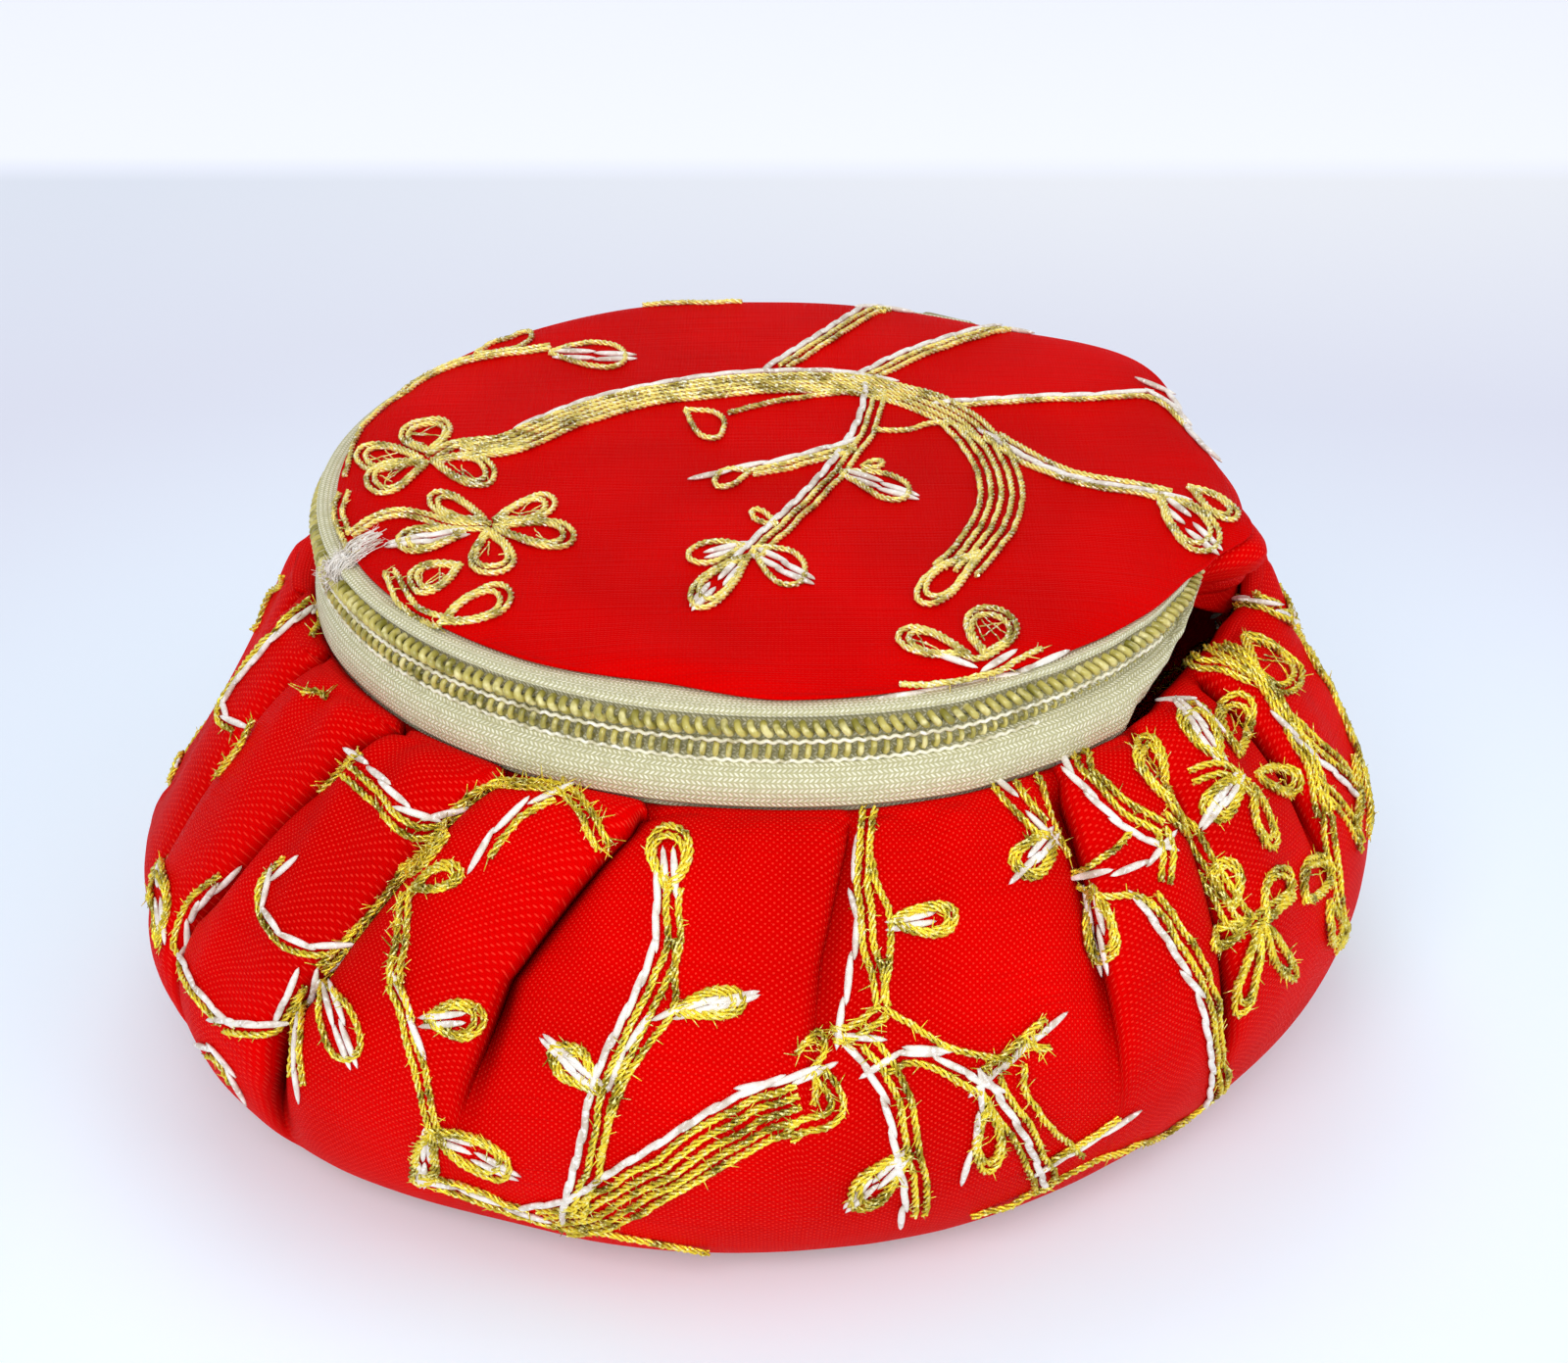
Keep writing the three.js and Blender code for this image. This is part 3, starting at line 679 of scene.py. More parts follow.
zipMetal = makeThread(
    "zip_metal", {"Metallic": 1.0, "Roughness": 0.3},
    (0.40, 0.32, 0.14), (0.56, 0.45, 0.2), (0.7, 0.6, 0.32), 500.0, 0.01 * mm,
)
print("materials made")


def columnOfPanel():
    share = np.arange(body["panelColumns"]) / body["panelColumns"]
    return share - body["crowding"] * np.sin(share * tau * 2)


def bodyGrid():
    down = np.linspace(0, 1, body["rows"])[:, None]
    across = columnOfPanel()[None, :]
    outer = []
    inner = []
    angles = []
    shades = []
    innerDown = np.array(body["innerDown"])[:, None]
    for panel in range(len(pleats["neck"])):
        azimuth, lift, slip, shade = gathered(panel, across, down)
        radius, height, outRadius, outHeight = bodyProfile(azimuth, down)
        angle = np.radians(azimuth)
        neckShare = np.exp(-down / body["rippleRun"]) * ease(down / body["rippleStart"])
        ripple = softWaves(np.cos(angle), np.sin(angle), body["ripples"], body["ripples"], 4) * neckShare
        middle = ease(down / 0.2) * (1 - ease((down - 0.75) / 0.25))
        sagging = softWaves(angle, down, 5.0, 9.0, 11) * middle
        lift = lift + ripple * body["ripple"] + sagging * body["sag"]
        turned = azimuth + np.degrees(slip / radius)
        towards = 1 - ease(down * 2)
        outer.append(polar(radius + outRadius * lift, turned, height + outHeight * lift, towards))
        angles.append(np.broadcast_to(azimuth, lift.shape))
        shades.append(shade)
        azimuth, lift, slip, shade = gathered(panel, across, innerDown)
        radius, height, outRadius, outHeight = bodyProfile(azimuth, innerDown)
        lift = lift * body["innerFollow"] - body["padding"]
        towards = 1 - ease(innerDown * 2)
        inner.append(polar(radius + outRadius * lift, azimuth, height + outHeight * lift, towards))
    outer, inner, angles, shades = (np.concatenate(part, 1) for part in (outer, inner, angles, shades))
    return outer, inner, np.unwrap(np.radians(angles), axis=1), shades


def makeBody():
    outer, inner, angles, shades = bodyGrid()
    azimuth = np.degrees(angles[0])
    rim = rimRadius(azimuth)
    share = np.linspace(0, 1, body["rimRows"] + 1)[:-1, None]
    inside = polar(rim, azimuth, body["neck"] - body["rim"] / 4)[None]
    over = lerp(inside, outer[:1], share[..., None])
    over[..., 2] += np.sin(share * math.pi) * body["rim"] / 5
    hemAzimuth = np.degrees(angles[-1])
    hemRadius = bodyProfile(hemAzimuth, np.ones_like(hemAzimuth))[0] - body["hem"]
    hem = polar(hemRadius, hemAzimuth, body["gap"], 0)[None]
    hemTop = polar(hemRadius, hemAzimuth, baseTop + body["gap"], 0)[None]
    turned = polar(rim, azimuth, body["neck"] - body["rimTurn"])[None]
    points = np.concatenate([over, outer, hem, hemTop, inner, turned])
    run = runDown(points)
    edges = [angles[:1]] * len(over) + [angles] + [angles[-1:]] * 2 + [angles[:1]] * (len(inner) + 1)
    mapU = np.concatenate(edges)
    mapU = np.concatenate([mapU, mapU[:, :1] + tau], 1)
    run = np.concatenate([run, run[:, :1]], 1)
    mapU = np.concatenate([mapU, mapU[-1:]]) * body["radius"] * body["mapScale"]
    run = np.concatenate([run, run[-1:] + body["rim"]])
    mesh = gridMesh("body_cloth", points, np.stack([mapU, run], -1), True, True)
    # The painted crease shade, kept as the crease attribute
    dark = np.zeros(points.shape[:2], np.float32)
    dark[:len(over)] = shades[:1]
    dark[len(over):len(over) + len(outer)] = shades
    mesh.attributes.new("crease", "FLOAT", "POINT").data.foreach_set("value", dark.ravel())
    return mesh


bodyCloth = showPiece("body_cloth", makeBody(), bodyRed)
print("body made")


def makeLid():
    azimuth = np.linspace(0, 360, lid["columns"], endpoint=False)[None, :]
    reach = lid["radius"] * around(lidOutline, "reach", azimuth)
    share = np.linspace(0, 1, lid["rings"])[1:, None]
    crown = along(lidDome, "share", "crown", share)
    top = polar(reach * share, azimuth, lidUnderside + lid["thickness"] + lid["crown"] * crown)
    waves = softWaves(top[..., 0], top[..., 1], 130.0, 130.0, 21) * ease(share / 0.3)
    waves = waves + softWaves(azimuth * 0.2, share, 1.0, 4.0, 22) * ease((share - 0.75) / 0.2)
    top[..., 2] += waves * lid["waves"] * (1 - ease((share - 0.96) / 0.04) * 0.7)
    turn = np.radians(np.linspace(*lid["edgeTurns"], 6))[:, None]
    half = lid["edge"] / 2
    edge = polar(reach + half * np.sin(turn), azimuth, lidUnderside + half + half * np.cos(turn))
    under = polar(reach * np.array(lid["underRings"])[:, None], azimuth, lidUnderside)
    points = np.concatenate([top, edge, under])
    corners = np.concatenate([points[..., :2], points[:, :1, :2]], 1)
    crest = lidUnderside + lid["thickness"] + lid["crown"]
    poles = [(body["right"], body["back"], height) for height in (crest, lidUnderside)]
    return gridMesh("lid_cloth", points, corners, False, True, poles)


lidCloth = showPiece("lid_cloth", makeLid(), lidRed)


# Unit steps in radius and height square to a section's line
def squareTo(radius, height):
    slopeRadius = np.gradient(radius, axis=0)
    slopeHeight = np.gradient(height, axis=0)
    size = np.hypot(slopeRadius, slopeHeight)
    return slopeHeight / size, slopeRadius / size


def makeHinge():
    azimuth = np.linspace(hinge["start"] - hinge["tuck"], hinge["end"], hinge["columns"])[None, :]
    lidEdge = lid["radius"] * around(lidOutline, "reach", azimuth)
    rows = dict(hingeFold, share=np.linspace(0, 1, len(hingeFold["out"])))
    share = np.linspace(0, 1, hinge["rows"])[:, None]
    out = along(rows, "share", "out", share) * hinge["sourceThickness"]
    lidShare = along(rows, "share", "lid", share)
    rise = along(rows, "share", "rise", share)
    under = lidUnderside - body["gap"] - hinge["sourceThickness"] / 2
    neck = neckRadius(azimuth)
    waves = softWaves(azimuth * 0.12, share, 1.0, 5.0, 31) * hinge["waves"]
    held = ease((share - 0.2) / 0.15) * (1 - ease((share - 0.55) / 0.2))
    half = hinge["thickness"] / 2
    opening = hinge["tuck"] * lerp(0.9, 3, share)
    clear = ease((azimuth - azimuth[0, 0]) / opening)  # 0 behind the tapes, 1 in the open
    behind = zipOutline(azimuth) - tape["recess"] - tape["thickness"] - body["gap"] - half
    radius = lerp(behind, lerp(neck, lidEdge, lidShare) + out + waves * held, clear)
    tucked = 1 - (1 - hinge["tuckRise"]) * share
    height = lerp(tapeFoot, under, lerp(tucked, rise, clear)) - hinge["tuckDrop"] * (1 - clear)
    outRadius, outHeight = squareTo(radius, height)
    outside = polar(radius - outRadius * half, azimuth, height + outHeight * half)
    inside = polar(radius + outRadius * half, azimuth, height - outHeight * half)
    return bandMesh("hinge_cloth", np.concatenate([outside, inside[::-1]]), azimuth, hinge["thickness"])


# Closes the two open ends of a band whose sections are a flat pair of rows
def closeEnds(mesh, rows, columns):
    shape = bmesh.new()
    shape.from_mesh(mesh)
    shape.verts.ensure_lookup_table()
    for column in (0, columns - 1):
        for row in range(rows // 2 - 1):
            ring = [row, row + 1, rows - 2 - row, rows - 1 - row]
            corners = [shape.verts[step * columns + column] for step in ring]
            shape.faces.new(corners if column else corners[::-1])
    bmesh.ops.recalc_face_normals(shape, faces=shape.faces)
    shape.to_mesh(mesh)
    shape.free()
    mesh.shade_smooth()
    return mesh


# A band round the zip from the closed rows of its section, with its map and its ends
def bandMesh(name, points, azimuth, thickness):
    run = runDown(points)
    run = np.concatenate([run, run[-1:] + thickness])
    mapU = np.broadcast_to(np.radians(azimuth) * body["zip"], run.shape)
    mesh = gridMesh(name, points, np.stack([mapU, run], -1), True, False)
    return closeEnds(mesh, *points.shape[:2])


hingeCloth = showPiece("hinge_cloth", makeHinge(), bodyRed)
print("lid and hinge made")


zipStart = hinge["end"] + math.degrees(2 * body["gap"] / body["zip"])
zipEnd = 360 + hinge["start"] - math.degrees(2 * body["gap"] / body["zip"])


# Sweeps a tape's outer line round the zip and gives it its thickness
def makeTape(name, line):
    azimuth = np.linspace(zipStart, zipEnd, tape["columns"])[None, :]
    out = line[:, :1]
    height = line[:, 1:]
    hangs = height < chainFoot
    out = np.where(hangs, out * around(tapeShape, "bulge", azimuth), out)
    height = np.where(hangs, chainFoot - (chainFoot - height) * around(tapeShape, "drop", azimuth), height)
    height = closed(height, azimuth)
    radius = zipOutline(azimuth) + out
    thick = tape["thickness"]
    inRadius, inHeight = squareTo(radius, height)
    outside = polar(radius, azimuth, height)
    inside = polar(radius - inRadius * thick, azimuth, height + inHeight * thick)
    return bandMesh(name, np.concatenate([outside[::-1], inside]), azimuth, thick)


# A smooth line through a few corners, as a list of points
def smoothLine(corners, steps):
    corners = np.array(corners, float)
    place = np.concatenate([[0], np.cumsum(np.linalg.norm(np.diff(corners, axis=0), axis=1))])
    rows = {"place": place}
    for axis in range(corners.shape[1]):
        rows[str(axis)] = corners[:, axis]
    at = np.linspace(0, place[-1], steps)
    return np.stack([along(rows, "place", str(axis), at) for axis in range(corners.shape[1])], -1)


coil = {
    "settle": 0.15 * mm,  # the two rows meet this far below the middle of the tapes
    "upperMiddle": 1.1 * mm,
    "upperEdge": 2.3 * mm,
    "lowerMiddle": 1.2 * mm,
    "lowerEdge": 2.15 * mm,
    "out": -0.3 * mm,
    "steps": 500,
    "upper": {"Pitch": 1.25 * mm, "Tall": 1.2 * mm, "Depth": 1.1 * mm, "Wire": 0.4 * mm, "Lean": 0.7},
    "lower": {"Pitch": 1.25 * mm, "Tall": 1.5 * mm, "Depth": 0.95 * mm, "Wire": 0.32 * mm, "Lean": -0.12},
    "stitch": {"Pitch": 1.25 * mm, "Swing": 0.12 * mm, "Thread Radius": 0.2 * mm},
    "stitchEnds": (322, 300),  # azimuths where the upper and the lower stitch line run out
    "stitchOut": 0.6 * mm,
}

# The rows grow small where the zip runs out under the hinge
coilShape = table("azimuth upper lower", [
    (-180, 1, 1), (-80, 1, 1), (-62, 1, 0.7), (-52, 1, 0.3), (-40, 0.95, 0.2), (-30, 0.85, 0.2),
    (-19, 0.5, 0.2), (62, 1, 1),
])

chainSplit = chainMiddle - coil["settle"]
lowerLine = smoothLine([
    (body["lean"], tapeFoot),
    (body["lean"], body["neck"] + 0.2 * mm),
    (body["lean"] + tape["bulge"] * 0.95, body["neck"] + 0.7 * mm),
    (body["lean"] + tape["bulge"], body["neck"] + 2.0 * mm),
    (body["lean"] + tape["bulge"] * 0.6, body["neck"] + 3.8 * mm),
    (tape["overhang"], chainSplit - coil["lowerEdge"]),
    (-tape["recess"], chainSplit - coil["lowerEdge"] + 0.5 * mm),
    (-tape["recess"], chainSplit - 0.1 * mm),
], 48)
upperLine = smoothLine([
    (-tape["recess"], chainSplit + body["gap"]),
    (-tape["recess"], chainSplit + coil["upperEdge"] - 0.3 * mm),
    (tape["overhang"], chainSplit + coil["upperEdge"] + 0.2 * mm),
    (tape["overhang"] * 1.5, tapeTop - 0.5 * mm),
    (tape["overhang"], tapeTop),
    (-1.0 * mm, tapeTop + 0.05 * mm),
    (-9 * mm, tapeTop),
], 44)
lowerTape = showPiece("lower_tape", makeTape("lower_tape", lowerLine), tapeCloth)
upperTape = showPiece("upper_tape", makeTape("upper_tape", upperLine), tapeCloth)
print("tapes made")


# Puts a node tree on a piece, keeps its result as a plain mesh and takes the tree off again
def growPiece(piece, tree, values):
    modifier = piece.modifiers.new(tree.name, "NODES")
    modifier.node_group = tree
    for item in tree.interface.items_tree:
        if item.item_type == "SOCKET" and item.in_out == "INPUT" and item.name in values:
            modifier[item.identifier] = values[item.name]
    graph = bpy.context.evaluated_depsgraph_get()
    grown = bpy.data.meshes.new_from_object(piece.evaluated_get(graph))
    piece.modifiers.remove(modifier)
    bare = piece.data
    piece.data = grown
    bpy.data.meshes.remove(bare)
    grown.name = piece.name
    return piece


# Lines of points with the cloth's outward direction at each, as edges that a tree can follow
def linePiece(name, lines):
    points = []
    edges = []
    ups = []
    for line, up in lines:
        start = len(points)
        points.extend(line.tolist())
        ups.extend(up.tolist())
        edges.extend((start + step, start + step + 1) for step in range(len(line) - 1))
    mesh = bpy.data.meshes.new(name)
    mesh.from_pydata(points, edges, [])
    attribute = mesh.attributes.new("up", "FLOAT_VECTOR", "POINT")
    attribute.data.foreach_set("vector", np.array(ups, np.float32).ravel())
    return showPiece(name, mesh, None)


def startTree(name, inputs):
    tree = bpy.data.node_groups.new(name, "GeometryNodeTree")
    shape = ("Geometry", "Geometry", None)
    addSockets(tree, [shape, *numberSockets(inputs), ("Material", "Material", None)], [shape])
    make = nodeMaker(tree)
    return tree, make, make("NodeGroupInput")


def endTree(tree, make, entry, geometry):
    real = make("GeometryNodeRealizeInstances", Geometry=geometry)
    smooth = make("GeometryNodeSetShadeSmooth", Geometry=real)
    finished = make("GeometryNodeSetMaterial", Geometry=smooth, Material=entry.outputs["Material"])
    outcome = make("NodeGroupOutput")
    tree.links.new(finished.outputs[0], outcome.inputs[0])
    return tree


# The points of each line at equal steps
def pointsAlong(make, entry, spacing):
    line = make("GeometryNodeMeshToCurve", Mesh=entry.outputs["Geometry"])
    return make("GeometryNodeCurveToPoints", {"mode": "LENGTH"}, Curve=line, Length=entry.outputs[spacing])


# The cloth's outward direction, as linePiece stored it
def outOfCloth(make):
    return make("GeometryNodeInputNamedAttribute", {"data_type": "FLOAT_VECTOR"}, Name="up").outputs[0]


# Turns each point of a line so that X runs along it and Z stands off the cloth
def standUp(make, tangent, lean=None):
    up = outOfCloth(make)
    first = make("FunctionNodeAlignRotationToVector", {"axis": "X"}, Vector=tangent)
    turned = make("FunctionNodeAlignRotationToVector", {"axis": "Z", "pivot_axis": "X"},
                  Rotation=first, Vector=up)
    if lean is None:
        return turned
    return make("FunctionNodeRotateRotation", {"rotation_space": "LOCAL"}, Rotation=turned, Rotate_By=lean)


# A cord of a few plies laid round each other, following each line and straying a little from it
def makeCordTree(name, plies, sides):
    tree, make, entry = startTree(name, {
        "Pitch": 3 * mm, "Ply Radius": 0.22 * mm, "Spread": 0.25 * mm, "Step": 0.5 * mm,
        "Stray": 0.3 * mm,
    })
    line = make("GeometryNodeMeshToCurve", Mesh=entry.outputs["Geometry"])
    fine = make("GeometryNodeResampleCurve", {"mode": "LENGTH"}, Curve=line, Length=entry.outputs["Step"])
    run = make("GeometryNodeSplineParameter").outputs["Length"]
    turns = reckon(make, "DIVIDE", run, entry.outputs["Pitch"])
    up = outOfCloth(make)
    tangent = make("GeometryNodeInputTangent")
    side = reckonVector(make, "CROSS_PRODUCT", tangent, up)
    section = make("GeometryNodeCurvePrimitiveCircle", Resolution=sides, Radius=entry.outputs["Ply Radius"])
    place = make("GeometryNodeInputPosition")
    unrest = make("ShaderNodeTexNoise", Vector=place, Scale=210.0, Detail=1.0)
    centred = reckonVector(make, "SUBTRACT", unrest.outputs["Color"], (0.5,) * 3)
    stray = reckonVector(make, "SCALE", centred, Scale=entry.outputs["Stray"])
    joined = make("GeometryNodeJoinGeometry")
    for ply in range(plies):
        angle = reckon(make, "MULTIPLY_ADD", turns, tau, tau * ply / plies)
        upShare = reckon(make, "COSINE", angle)
        sideShare = reckon(make, "SINE", angle)
        rise = reckonVector(make, "SCALE", up, Scale=upShare)
        drift = reckonVector(make, "SCALE", side, Scale=sideShare)
        both = reckonVector(make, "ADD", rise, drift)
        laid = reckonVector(make, "SCALE", both, Scale=entry.outputs["Spread"])
        offset = reckonVector(make, "ADD", laid, stray)
        moved = make("GeometryNodeSetPosition", Geometry=fine, Offset=offset)
        solid = make("GeometryNodeCurveToMesh", Curve=moved, Profile_Curve=section, Fill_Caps=True)
        tree.links.new(solid.outputs[0], joined.inputs[0])
    return endTree(tree, make, entry, joined)


# Plump slanted stitches laid end over end along each line
def makeLinkTree():
    tree, make, entry = startTree("Satin Links", {
        "Pitch": 3.4 * mm, "Length": 4.4 * mm, "Width": 1.3 * mm, "Height": 0.9 * mm, "Slant": 0.16,
    })
    points = pointsAlong(make, entry, "Pitch")
    lean = make("ShaderNodeCombineXYZ", Z=entry.outputs["Slant"])
    turned = standUp(make, points.outputs["Tangent"], lean)
    size = make("ShaderNodeCombineXYZ", X=entry.outputs["Length"], Y=entry.outputs["Width"],
                Z=entry.outputs["Height"])
    stitch = make("GeometryNodeMeshUVSphere", Segments=10, Rings=7, Radius=0.5)
    laid = make("GeometryNodeInstanceOnPoints", Points=points.outputs["Points"], Instance=stitch,
                Rotation=turned, Scale=size)
    return endTree(tree, make, entry, laid)


# Loose ends that stand out from each line, at seeded places and angles
def makeBristleTree():
    tree, make, entry = startTree("Bristles", {
        "Spacing": 1.0 * mm, "Share": 0.6, "Length": 2.0 * mm, "Thickness": 0.16 * mm, "Rise": 0.5,
        "Seed": 3,
    })
    points = pointsAlong(make, entry, "Spacing")
    seed = entry.outputs["Seed"]
    up = outOfCloth(make)
    tangent = points.outputs["Tangent"]
    side = reckonVector(make, "CROSS_PRODUCT", tangent, up)
    draws = []
    for shift, low, high in ((0, -1.0, 1.0), (1, -1.0, 1.0), (2, 0.1, 1.0), (3, 0.45, 1.0)):
        own = reckon(make, "ADD", seed, float(shift))
        draw = make("FunctionNodeRandomValue", {"data_type": "FLOAT"}, Seed=own)
        draw.inputs[2].default_value = low
        draw.inputs[3].default_value = high
        draws.append(draw.outputs[1])
    sideways = reckonVector(make, "SCALE", side, Scale=draws[0])
    onwards = reckonVector(make, "SCALE", tangent, Scale=draws[1])
    risen = reckon(make, "MULTIPLY", draws[2], entry.outputs["Rise"])
    upwards = reckonVector(make, "SCALE", up, Scale=risen)
    flat = reckonVector(make, "ADD", sideways, onwards)
    aim = reckonVector(make, "ADD", flat, upwards)
    turned = make("FunctionNodeAlignRotationToVector", {"axis": "Z"}, Vector=aim)
    hair = make("GeometryNodeMeshCone", Vertices=5, Side_Segments=2, Radius_Top=0.35,
                Radius_Bottom=1.0, Depth=1.0)
    length = reckon(make, "MULTIPLY", draws[3], entry.outputs["Length"])
    thick = entry.outputs["Thickness"]
    size = make("ShaderNodeCombineXYZ", X=thick, Y=thick, Z=length)
    chosen = make("FunctionNodeRandomValue", {"data_type": "BOOLEAN"},
                  Probability=entry.outputs["Share"], Seed=seed)
    laid = make("GeometryNodeInstanceOnPoints", Points=points.outputs["Points"],
                Selection=chosen.outputs[3], Instance=hair, Rotation=turned, Scale=size)
    return endTree(tree, make, entry, laid)


# One side of the coil: a bent loop of nylon at each point, leaning along the zip
def makeCoilTree():
    tree, make, entry = startTree("Coil Teeth", {
        "Pitch": 1.5 * mm, "Tall": 2.2 * mm, "Depth": 1.2 * mm, "Wire": 0.4 * mm, "Lean": 0.4,
    })
    points = pointsAlong(make, entry, "Pitch")
    lean = make("ShaderNodeCombineXYZ", Z=entry.outputs["Lean"])
    turned = standUp(make, points.outputs["Tangent"], lean)
    share = make("GeometryNodeInputNamedAttribute", {"data_type": "FLOAT"}, Name="size").outputs[0]
    shares = make("ShaderNodeCombineXYZ", X=share, Y=share, Z=share)
    bend = make("GeometryNodeCurveArc", {"mode": "RADIUS"}, Resolution=9, Radius=1.0, Start_Angle=0.0,
                Sweep_Angle=math.pi)
    halfTall = reckon(make, "MULTIPLY", entry.outputs["Tall"], 0.5)
    size = make("ShaderNodeCombineXYZ", X=halfTall, Y=entry.outputs["Depth"], Z=1.0)
    sized = make("GeometryNodeTransform", Geometry=bend.outputs[0], Scale=size)
    upright = make("GeometryNodeTransform", Geometry=sized, Rotation=(math.pi / 2, 0, math.pi / 2))
    section = make("GeometryNodeCurvePrimitiveCircle", Resolution=7, Radius=entry.outputs["Wire"])
    tooth = make("GeometryNodeCurveToMesh", Curve=upright, Profile_Curve=section, Fill_Caps=True)
    laid = make("GeometryNodeInstanceOnPoints", Points=points.outputs["Points"], Instance=tooth,
                Rotation=turned, Scale=shares)
    return endTree(tree, make, entry, laid)


# A thin thread that swings from side to side along each line
def makeWavyTree():
    tree, make, entry = startTree("Wavy Stitch", {
        "Pitch": 1.25 * mm, "Swing": 0.2 * mm, "Thread Radius": 0.19 * mm,
    })
    line = make("GeometryNodeMeshToCurve", Mesh=entry.outputs["Geometry"])
    step = reckon(make, "DIVIDE", entry.outputs["Pitch"], 6.0)
    fine = make("GeometryNodeResampleCurve", {"mode": "LENGTH"}, Curve=line, Length=step)
    run = make("GeometryNodeSplineParameter").outputs["Length"]
    turns = reckon(make, "DIVIDE", run, entry.outputs["Pitch"])
    angle = reckon(make, "MULTIPLY", turns, tau)
    wave = reckon(make, "SINE", angle)
    swing = reckon(make, "MULTIPLY", wave, entry.outputs["Swing"])
    up = outOfCloth(make)
    tangent = make("GeometryNodeInputTangent")
    side = reckonVector(make, "CROSS_PRODUCT", tangent, up)
    offset = reckonVector(make, "SCALE", side, Scale=swing)
    moved = make("GeometryNodeSetPosition", Geometry=fine, Offset=offset)
    section = make("GeometryNodeCurvePrimitiveCircle", Resolution=6, Radius=entry.outputs["Thread Radius"])
    solid = make("GeometryNodeCurveToMesh", Curve=moved, Profile_Curve=section, Fill_Caps=True)
    return endTree(tree, make, entry, solid)


wavyTree = makeWavyTree()
cordTree = makeCordTree("Twisted Cord", 3, 5)
filamentTree = makeCordTree("Fine Filament", 1, 4)
linkTree = makeLinkTree()
bristleTree = makeBristleTree()
coilTree = makeCoilTree()
print("node trees made")


# A line round the zip at one height, with its outward direction
def zipLine(height, out, start, end):
    azimuth = np.linspace(start, end, coil["steps"])
    angle = np.radians(azimuth)
    points = polar(zipOutline(azimuth) + out, azimuth, closed(height, azimuth))
    return points, np.stack([np.cos(angle), np.sin(angle), 0 * angle], -1)


slider = {
    "length": 8 * mm,
    "height": 4.9 * mm,
    "lowered": 0.7 * mm,
    "depth": 3.6 * mm,
    "taper": 0.74,  # the narrow end's share of the height
    "faceRound": 1.4 * mm,
    "plate": 1.05 * mm,
    "wedge": 1.1 * mm,
    "wedgeInset": 0.3 * mm,
    "wedgeRound": 0.5 * mm,
    "rail": 0.8 * mm,
    "railStart": 0.8,  # rails run from this share of half the length
    "railEnd": 0.9,  # to this one on the other side
    "railInset": 0.25 * mm,
    "railRound": 0.3 * mm,
    "bevel": 0.2 * mm,
    "bridgeReach": 1.7 * mm,
    "bridgeWidth": 2.2 * mm,
    "bridgeShare": 0.56,
    "bridgeThickness": 0.8 * mm,
    "sunk": 0.2 * mm,  # the bridge's feet stand this far in the plate
    "inPlate": 0.9,  # rails and wedge run into the plates and stop at this share of them
    "pullLength": 13 * mm,
    "pullWidth": 4.4 * mm,
    "pullNeck": 3 * mm,
    "pullTop": 1.4 * mm,
    "pullRound": 1.3 * mm,
    "pullThickness": 1 * mm,
    "pullTilt": 30,
    "holeWidth": 1.7 * mm,
    "holeLength": 2.6 * mm,
    "holeInset": 0.9 * mm,
    "holeRound": 0.7 * mm,
}
sliderCentre = zipStart + math.degrees(slider["length"] / 2 / body["zip"])
coilStart = sliderCentre + math.degrees((slider["length"] / 2 + body["gap"]) / body["zip"])


def makeCoil(side, height):
    azimuth = np.linspace(coilStart, zipEnd, coil["steps"])
    piece = linePiece(side + "_coil", [zipLine(height, coil["out"], coilStart, zipEnd)])
    size = piece.data.attributes.new("size", "FLOAT", "POINT")
    size.data.foreach_set("value", around(coilShape, side, azimuth).astype(np.float32))
    return growPiece(piece, coilTree, dict(coil[side], Material=coilNylon))


def makeStitchLine(name, height, end):
    piece = linePiece(name, [zipLine(height, coil["stitchOut"], coilStart, end)])
    return growPiece(piece, wavyTree, dict(coil["stitch"], Material=creamThread))


upperCoil = makeCoil("upper", chainSplit + coil["upperMiddle"])
lowerCoil = makeCoil("lower", chainSplit - coil["lowerMiddle"])
stitchLines = [
    makeStitchLine("upper_stitch_line", chainSplit, coil["stitchEnds"][0]),
    makeStitchLine("lower_stitch_line", chainSplit - coil["lowerEdge"], coil["stitchEnds"][1]),
]
print("coils made")


# An outline with its corners rounded off by a short curve
def roundCorners(corners, reach, steps=5):
    corners = np.array(corners, float)
    outline = []
    for here, corner in enumerate(corners):
        ends = []
        for beside in (corners[here - 1], corners[(here + 1) % len(corners)]):
            away = beside - corner
            ends.append(corner + away * min(0.48, reach / np.linalg.norm(away)))
        for t in np.linspace(0, 1, steps):
            outline.append(ends[0] * (1 - t) ** 2 + corner * 2 * t * (1 - t) + ends[1] * t * t)
    return np.array(outline)


# Adds a plate to a shape: an outline across and up, between two depths, with or without a hole
def addPlate(shape, outline, low, high, hole=None, turn=None, upright=False):
    loops = [(outline, low), (outline, high)]
    if hole is not None:
        loops += [(hole, high), (hole, low)]
    rings = []
    for ring, depth in loops:
        places = [Vector((depth, y, x)) if upright else Vector((x, depth, y)) for x, y in ring]
        rings.append([shape.verts.new(turn @ place if turn else place) for place in places])
    count = len(outline)
    for near, far in zip(rings, rings[1:] + (rings[:1] if hole is not None else [])):
        for side in range(count):
            beside = (side + 1) % count
            shape.faces.new([near[side], near[beside], far[beside], far[side]])
    if hole is None:
        shape.faces.new(rings[0])
        shape.faces.new(rings[1][::-1])


